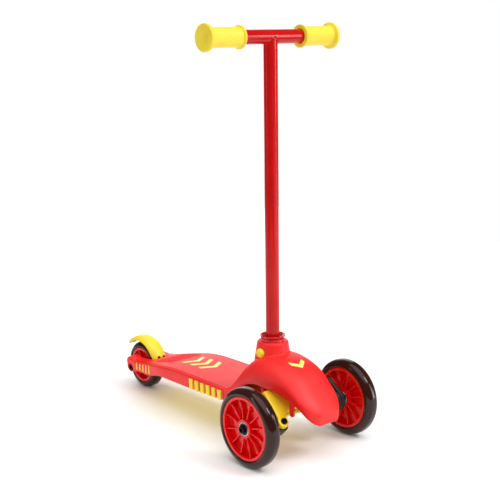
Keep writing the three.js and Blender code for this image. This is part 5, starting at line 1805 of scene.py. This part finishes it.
@dataclass
class Brake:
    """The fender over the rear wheel that is pressed down as a brake."""

    wheel: Flat = (WHEEL_BASE, REAR_R)
    foot: float = 162
    tip: float = 33
    rear_r: float = 59
    foot_r: float = 54
    half: float = 15.6
    thick: float = 2.6
    drop: float = 10
    radius_rows: Rows = ((0, 0), (0.2, 0.45), (0.5, 0.8), (1, 1))
    drop_rows: Rows = ((0, 0.15), (0.25, 0.6), (0.5, 0.85), (0.75, 1), (1, 1))
    width_rows: Rows = ((0, 0.42), (0.05, 0.66), (0.14, 0.82), (0.3, 0.93), (0.5, 1), (0.8, 0.98), (1, 0.92))
    barrel_r: float = 3.4
    barrel_half: float = 17
    core_r: float = 1.7
    core_long: float = 14

    def loop(self, share: float) -> list[Spot]:
        """Give a closed section of the fender, square to the wheel's rim.

        Args:
            share: Its place from tip to foot.

        Returns:
            Its points.
        """
        turn = math.radians(mix(self.tip, self.foot, share))
        outer = mix(self.rear_r, self.foot_r, along(self.radius_rows, share))
        fall = self.drop * along(self.drop_rows, share)
        half = self.half * along(self.width_rows, share)

        def at(angle: float, depth: float) -> Spot:
            """A point of the section at an angle across it."""
            r = outer - depth - fall * (1 - math.cos(angle))
            y, z = self.wheel
            return ((half - depth) * math.sin(angle), y + r * math.cos(turn), z + r * math.sin(turn))

        angles = spread(-math.pi / 2, math.pi / 2, 24)
        return [at(a, 0) for a in angles] + [at(a, self.thick) for a in reversed(angles)]

    def build(self) -> None:
        """Mould the fender, cut the holes for its pin and screws, and give the bracket and the pins a finish.
        """
        made = loft([self.loop(share) for share in spread(0, 1, 56)])
        half = self.barrel_half
        combine(made, Blend.CUT, rod(self.barrel_r + GAP, -half, half, Way.X, (0, *BRAKE_PIN)))
        for side in (-1, 1):
            low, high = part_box("brake_screw_left" if side > 0 else "brake_screw_right")
            middle = (low + high) / 2
            centre = (middle.x * 1000, 0, middle.z * 1000)
            y = (low.y - AXLE_Y) * 1000
            core = rod(self.core_r, y - 1, y + self.core_long, Way.Y, centre, POST_STEPS)
            combine(made, Blend.CUT, core)
        soften(made, voxel=0.75, rounds=3)
        finish(made, "fender_shell", YELLOW, "brake", "rear_fender")
        dress(BLACK_NYLON, "brake_bracket")
        dress(ZINC, "brake_pin", "tie_pin_left", "tie_pin_right")


# Small metal parts


@dataclass
class Fasteners:
    """Pan-head screws with a cross recess, and the coil springs."""

    recess_wide: float = 1.1  # of the larger head
    recess_long: float = 4.4
    recess_share: float = 0.25
    large_r: float = 3.6
    small_r: float = 2.8
    head_high: float = 2
    dome_power: float = 0.7
    dome_end: float = 1.5  # angle where a head's dome ends, in radians
    edge: float = 0.1
    edge_share: float = 0.96
    tray_screws: int = 4
    yoke_screws: int = 6
    stretch_from: float = 0.012  # where a shank is drawn out to its node's end, in metres

    def screw(self, head_r: float, core: float, high: float, long: float) -> Object:
        """Turn a screw whose head points down, at the working frame's origin.

        Args:
            head_r: Radius of its head.
            core: Radius of its shank.
            high: Height of the head.
            long: Length of the shank.

        Returns:
            The screw.
        """
        angles = spread(0, self.dome_end, 7)
        dome = [(head_r * math.sin(a), -high * math.cos(a) ** self.dome_power) for a in angles]
        edge = [(head_r, -self.edge), (head_r * self.edge_share, 0)]
        made = spun([*dome, *edge, (core, 0), (core, long), (0, long)], Way.Z, steps=32)
        reach = self.recess_long / 2 * head_r / self.large_r
        wide = self.recess_wide / 2 * head_r / self.large_r
        for a, b in ((reach, wide), (wide, reach)):
            combine(made, Blend.CUT, block(-a, a, -b, b, -high - 1, -high * self.recess_share))
        return shade(made, 35)

    def spring(self, name: str, wire: float, turns: int, body: str) -> None:
        """Wind a spring along X in the box of its node.

        Args:
            name: Its node.
            wire: Radius of its wire.
            turns: How many turns it has.
            body: The body that it rides on.
        """
        low, high = (corner * 1000 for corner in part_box(name))
        middle = (low + high) / 2
        y, z = middle.y - AXLE_Y * 1000, middle.z
        out = min(high.y - low.y, high.z - low.z) / 2 - wire
        start, end = low.x + wire, high.x - wire
        angles = spread(0, math.tau, 12)[:-1]
        ring = [(start + wire * math.cos(a), y, z - out + wire * math.sin(a)) for a in angles]
        made = outline(ring, "NOTHING")
        centre = metres((start, y, z))
        made.data.transform(Matrix.Translation(-centre))
        pitch = (end - start) / turns / 1000
        apply(
            made, "SCREW", axis="X", angle=math.tau, screw_offset=pitch, iterations=turns,
            steps=28, render_steps=28, use_merge_vertices=True, use_smooth_shade=True,
        )
        made.data.transform(Matrix.Translation(centre))
        pick(made)
        bpy.ops.object.mode_set(mode="EDIT")
        bpy.ops.mesh.select_all(action="SELECT")
        bpy.ops.mesh.fill_holes(sides=0)
        bpy.ops.mesh.normals_make_consistent(inside=False)
        bpy.ops.object.mode_set(mode="OBJECT")
        finish(made, f"{name}_wound", ZINC, body, name)

    def build(self) -> None:
        """Place the screws and springs where their nodes are."""
        sunk = self.head_high / 1000
        master = self.screw(self.large_r, core=1.9, high=self.head_high, long=13)
        names = [f"tray_screw_{k + 1}" for k in range(self.tray_screws)]
        names += [f"yoke_screw_{k + 1}" for k in range(self.yoke_screws)]
        for name in names:
            low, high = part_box(name)
            spot = Vector(((low.x + high.x) / 2, (low.y + high.y) / 2, low.z + sunk))
            placed = twin(master, Matrix.Translation(spot - metres((0, 0, 0))))
            for vertex in placed.data.vertices:
                if vertex.co.z > spot.z + self.stretch_from:
                    vertex.co.z = high.z
            finish(placed, f"{name}_pan", BLACK_OXIDE, "chassis", name)
        bpy.data.objects.remove(master)
        small = self.screw(self.small_r, core=1.4, high=self.head_high, long=6.8)
        turn = Matrix.Rotation(-math.pi / 2, 4, "X")
        for name in ("brake_screw_left", "brake_screw_right"):
            low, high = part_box(name)
            spot = Vector(((low.x + high.x) / 2, low.y + sunk, (low.z + high.z) / 2))
            placed = twin(small, Matrix.Translation(spot) @ turn @ Matrix.Translation(-metres((0, 0, 0))))
            finish(placed, f"{name}_pan", BLACK_OXIDE, "brake", name)
        bpy.data.objects.remove(small)
        for side in ("left", "right"):
            self.spring(f"centring_spring_{side}", wire=0.9, turns=5, body="chassis")
        self.spring("button_spring", wire=0.5, turns=4, body="chassis")
        self.spring("brake_spring", wire=0.55, turns=6, body="chassis")


# Printed marks


@dataclass
class Marks:
    """Plain forward arrows in pale yellow ink on the deck and on the nose."""

    deck_ys: tuple[float, ...] = (212, 236, 260)
    deck_size: Spot = (23, 14, 9)  # half its width, how far its ends lie behind its tip, its bars' width
    nose_y: float = -7
    nose_size: Spot = (14, 9, 7)
    nose_long: float = 1.2  # how much longer it is drawn, as the hood slopes
    lift: float = 0.12
    film: float = 0.0005  # thickness of the ink, in metres

    def arrow(self, spots: Callable[[float, float], Spot], half: float, sweep: float, band: float) -> Object:
        """Draw an arrow as two flat bars, draped point by point on the surface.

        Args:
            spots: Gives the place of a point from its distance across and along.
            half: Half the arrow's width.
            sweep: How far its ends lie behind its tip.
            band: Width of its bars along the way it points.

        Returns:
            The arrow as a thin solid.
        """
        far = sweep + band
        made = outline([(0, 0, 0), (half, sweep, 0), (half, far, 0), (0, band, 0)], "NGON")
        other = outline([(0, 0, 0), (0, band, 0), (-half, far, 0), (-half, sweep, 0)], "NGON")
        made = merged(made, other)
        bpy.ops.object.mode_set(mode="EDIT")
        bpy.ops.mesh.select_all(action="SELECT")
        bpy.ops.mesh.remove_doubles(threshold=MERGE)
        bpy.ops.mesh.subdivide(number_cuts=14)
        bpy.ops.object.mode_set(mode="OBJECT")
        base = metres((0, 0, 0))
        for vertex in made.data.vertices:
            flat = (vertex.co - base) * 1000
            vertex.co = metres(spots(flat.x, flat.y))
        pick(made)
        bpy.ops.object.mode_set(mode="EDIT")
        bpy.ops.mesh.select_all(action="SELECT")
        bpy.ops.mesh.normals_make_consistent(inside=False)
        bpy.ops.object.mode_set(mode="OBJECT")
        return apply(made, "SOLIDIFY", thickness=self.film, offset=0)

    def build(self, lines: BodyLines) -> None:
        """Print three arrows on the deck and a small one on the nose."""

        def on_nose(u: float, v: float) -> Spot:
            """A point of the arrow on the hood."""
            y = self.nose_y + v * self.nose_long
            return (u, y, lines.nose_skin(u, y) + self.lift)

        for k, start in enumerate(self.deck_ys):

            def on_deck(u: float, v: float, start: float = start) -> Spot:
                """A point of the arrow on the deck."""
                return (u, start + v, lines.deck_skin(u, start + v) + self.lift)

            finish(self.arrow(on_deck, *self.deck_size), f"deck_arrow_{k + 1}", YELLOW_INK, "chassis")
        finish(self.arrow(on_nose, *self.nose_size), "nose_arrow", YELLOW_INK, "chassis")


# Studio


@dataclass
class Studio:
    """Pale floor, soft lights and the camera of the photograph."""

    camera_at: Spot = (-1113.13, -1189.07, 664.01)
    yaw: float = 49.59
    pitch: float = 11.67
    roll: float = -0.68
    lens: float = 77.08
    sensor: float = 36
    far: float = 100  # how far it sees, in metres
    floor_colour: str = "FAFAF9"
    glow: float = 0.5  # how brightly the surroundings light matt surfaces
    mirror: float = 0.12  # how bright they are in a reflection
    sun: float = 1.85
    sun_turn: Flat = (12, -8)  # about X and Y, in degrees
    sun_wide: float = 70  # how wide it looks, in degrees
    sun_high: float = 3
    floor_wide: float = 3.2
    floor_roughness: float = 0.7
    aim: Spot = (0, 0, 0.2)  # what the lights face, in metres
    lamps: tuple[tuple[Spot, float, float, float], ...] = (
        ((0.9, -1.9, 2.2), 0.8, 0.8, 26),
        ((1.6, -1.9, 0.6), 0.22, 1.6, 11),
        ((-2.2, 0.9, 0.7), 0.2, 1.6, 4),
        ((1.7, 2.1, 1.0), 2.0, 2.0, 16),
    )  # place, width, height and power

    def camera(self) -> None:
        """Place the camera from its fitted angles."""
        yaw, pitch, roll = (math.radians(a) for a in (self.yaw, self.pitch, self.roll))
        ahead = Vector((math.cos(yaw) * math.cos(pitch), math.sin(yaw) * math.cos(pitch), -math.sin(pitch)))
        right = Vector((math.sin(yaw), -math.cos(yaw), 0))
        up = right.cross(ahead)
        across = right * math.cos(roll) + up * math.sin(roll)
        high = up * math.cos(roll) - right * math.sin(roll)
        bpy.ops.object.camera_add(location=metres(self.camera_at))
        made = bpy.context.object
        made.rotation_euler = Matrix((across, high, -ahead)).transposed().to_euler()
        made.data.lens = self.lens
        made.data.sensor_width = self.sensor
        made.data.clip_end = self.far
        bpy.context.scene.camera = made

    def light(self, spot: Spot, wide: float, tall: float, watts: float) -> None:
        """Hang a soft light that faces the scooter.

        Args:
            spot: Where it hangs, in metres.
            wide: Its width in metres.
            tall: Its height in metres.
            watts: Its power.
        """
        bpy.ops.object.light_add(type="AREA", location=spot)
        made = bpy.context.object
        made.rotation_euler = (Vector(self.aim) - Vector(spot)).to_track_quat("-Z", "Y").to_euler()
        made.visible_camera = False
        made.data.shape = "RECTANGLE"
        made.data.size = wide
        made.data.size_y = tall
        made.data.energy = watts

    def floor(self) -> None:
        """Lay the matt floor, which runs out into the white round it."""
        pick()
        bpy.ops.mesh.primitive_plane_add(size=self.floor_wide)
        made = bpy.context.object
        made.name = "studio_floor"
        paper = bpy.data.materials.new("matt_white_paper")
        paper.use_nodes = True
        shader = paper.node_tree.nodes["Principled BSDF"]
        shader.inputs["Base Color"].default_value = linear(self.floor_colour)
        shader.inputs["Roughness"].default_value = self.floor_roughness
        made.data.materials.append(paper)

    def surround(self) -> None:
        """Close the studio in white, dimmer in reflections so that gloss keeps its colour."""
        world = bpy.data.worlds.new("white_studio")
        world.use_nodes = True
        bpy.context.scene.world = world
        tree = world.node_tree
        ray = node(tree, "ShaderNodeLightPath")
        lit = node(tree, "ShaderNodeMix", {0: ray.outputs["Is Glossy Ray"], 2: self.glow, 3: self.mirror})
        seen = node(tree, "ShaderNodeMix", {0: ray.outputs["Is Camera Ray"], 2: lit.outputs[0], 3: 1.0})
        sky = tree.nodes["Background"]
        sky.inputs["Color"].default_value = (1, 1, 1, 1)
        tree.links.new(seen.outputs[0], sky.inputs["Strength"])

    def build(self) -> None:
        """Set up camera, floor, sky and lights."""
        self.camera()
        self.floor()
        bpy.context.scene.view_settings.view_transform = "Standard"
        self.surround()
        for spot, wide, tall, watts in self.lamps:
            self.light(spot, wide, tall, watts)
        bpy.ops.object.light_add(type="SUN", location=(0, 0, self.sun_high))
        sun = bpy.context.object
        sun.rotation_euler = (*(math.radians(a) for a in self.sun_turn), 0)
        sun.data.energy = self.sun
        sun.data.angle = math.radians(self.sun_wide)


def main() -> None:
    """Build every part of the scooter in order."""
    logging.basicConfig(level=logging.INFO, format="%(name)s %(message)s")
    lines = BodyLines()
    Studio().build()
    Nose(lines).build()
    Deck(lines).build()
    Steering().build()
    for name, side in (("left", 1), ("right", -1)):
        bearings = ((f"front_bearing_{name}_outer", side), (f"front_bearing_{name}_inner", -side))
        nodes = tuple(f"front_{piece}_{name}" for piece in ("tyre", "hub", "spacer"))
        wheel = Wheel((side * TRACK_HALF, 0, FRONT_R), outer=FRONT_R, rim=50.65, boss=15, blades=12)
        wheel.build(f"wheel_{name}", nodes, bearings)
    rear = (0, lines.wheel_base, lines.rear_r)
    bearings = (("rear_bearing_left", 1), ("rear_bearing_right", -1))
    wheel = Wheel(rear, outer=lines.rear_r, rim=32.5, boss=14.5, blades=6)
    wheel.build("wheel_rear", ("rear_tyre", "rear_hub", "rear_spacer"), bearings)
    AxleBolts().build(rear, lines.arm_half)
    Handlebar().build()
    Brake().build()
    Fasteners().build()
    Marks().build(lines)


if __name__ == "__main__":
    main()
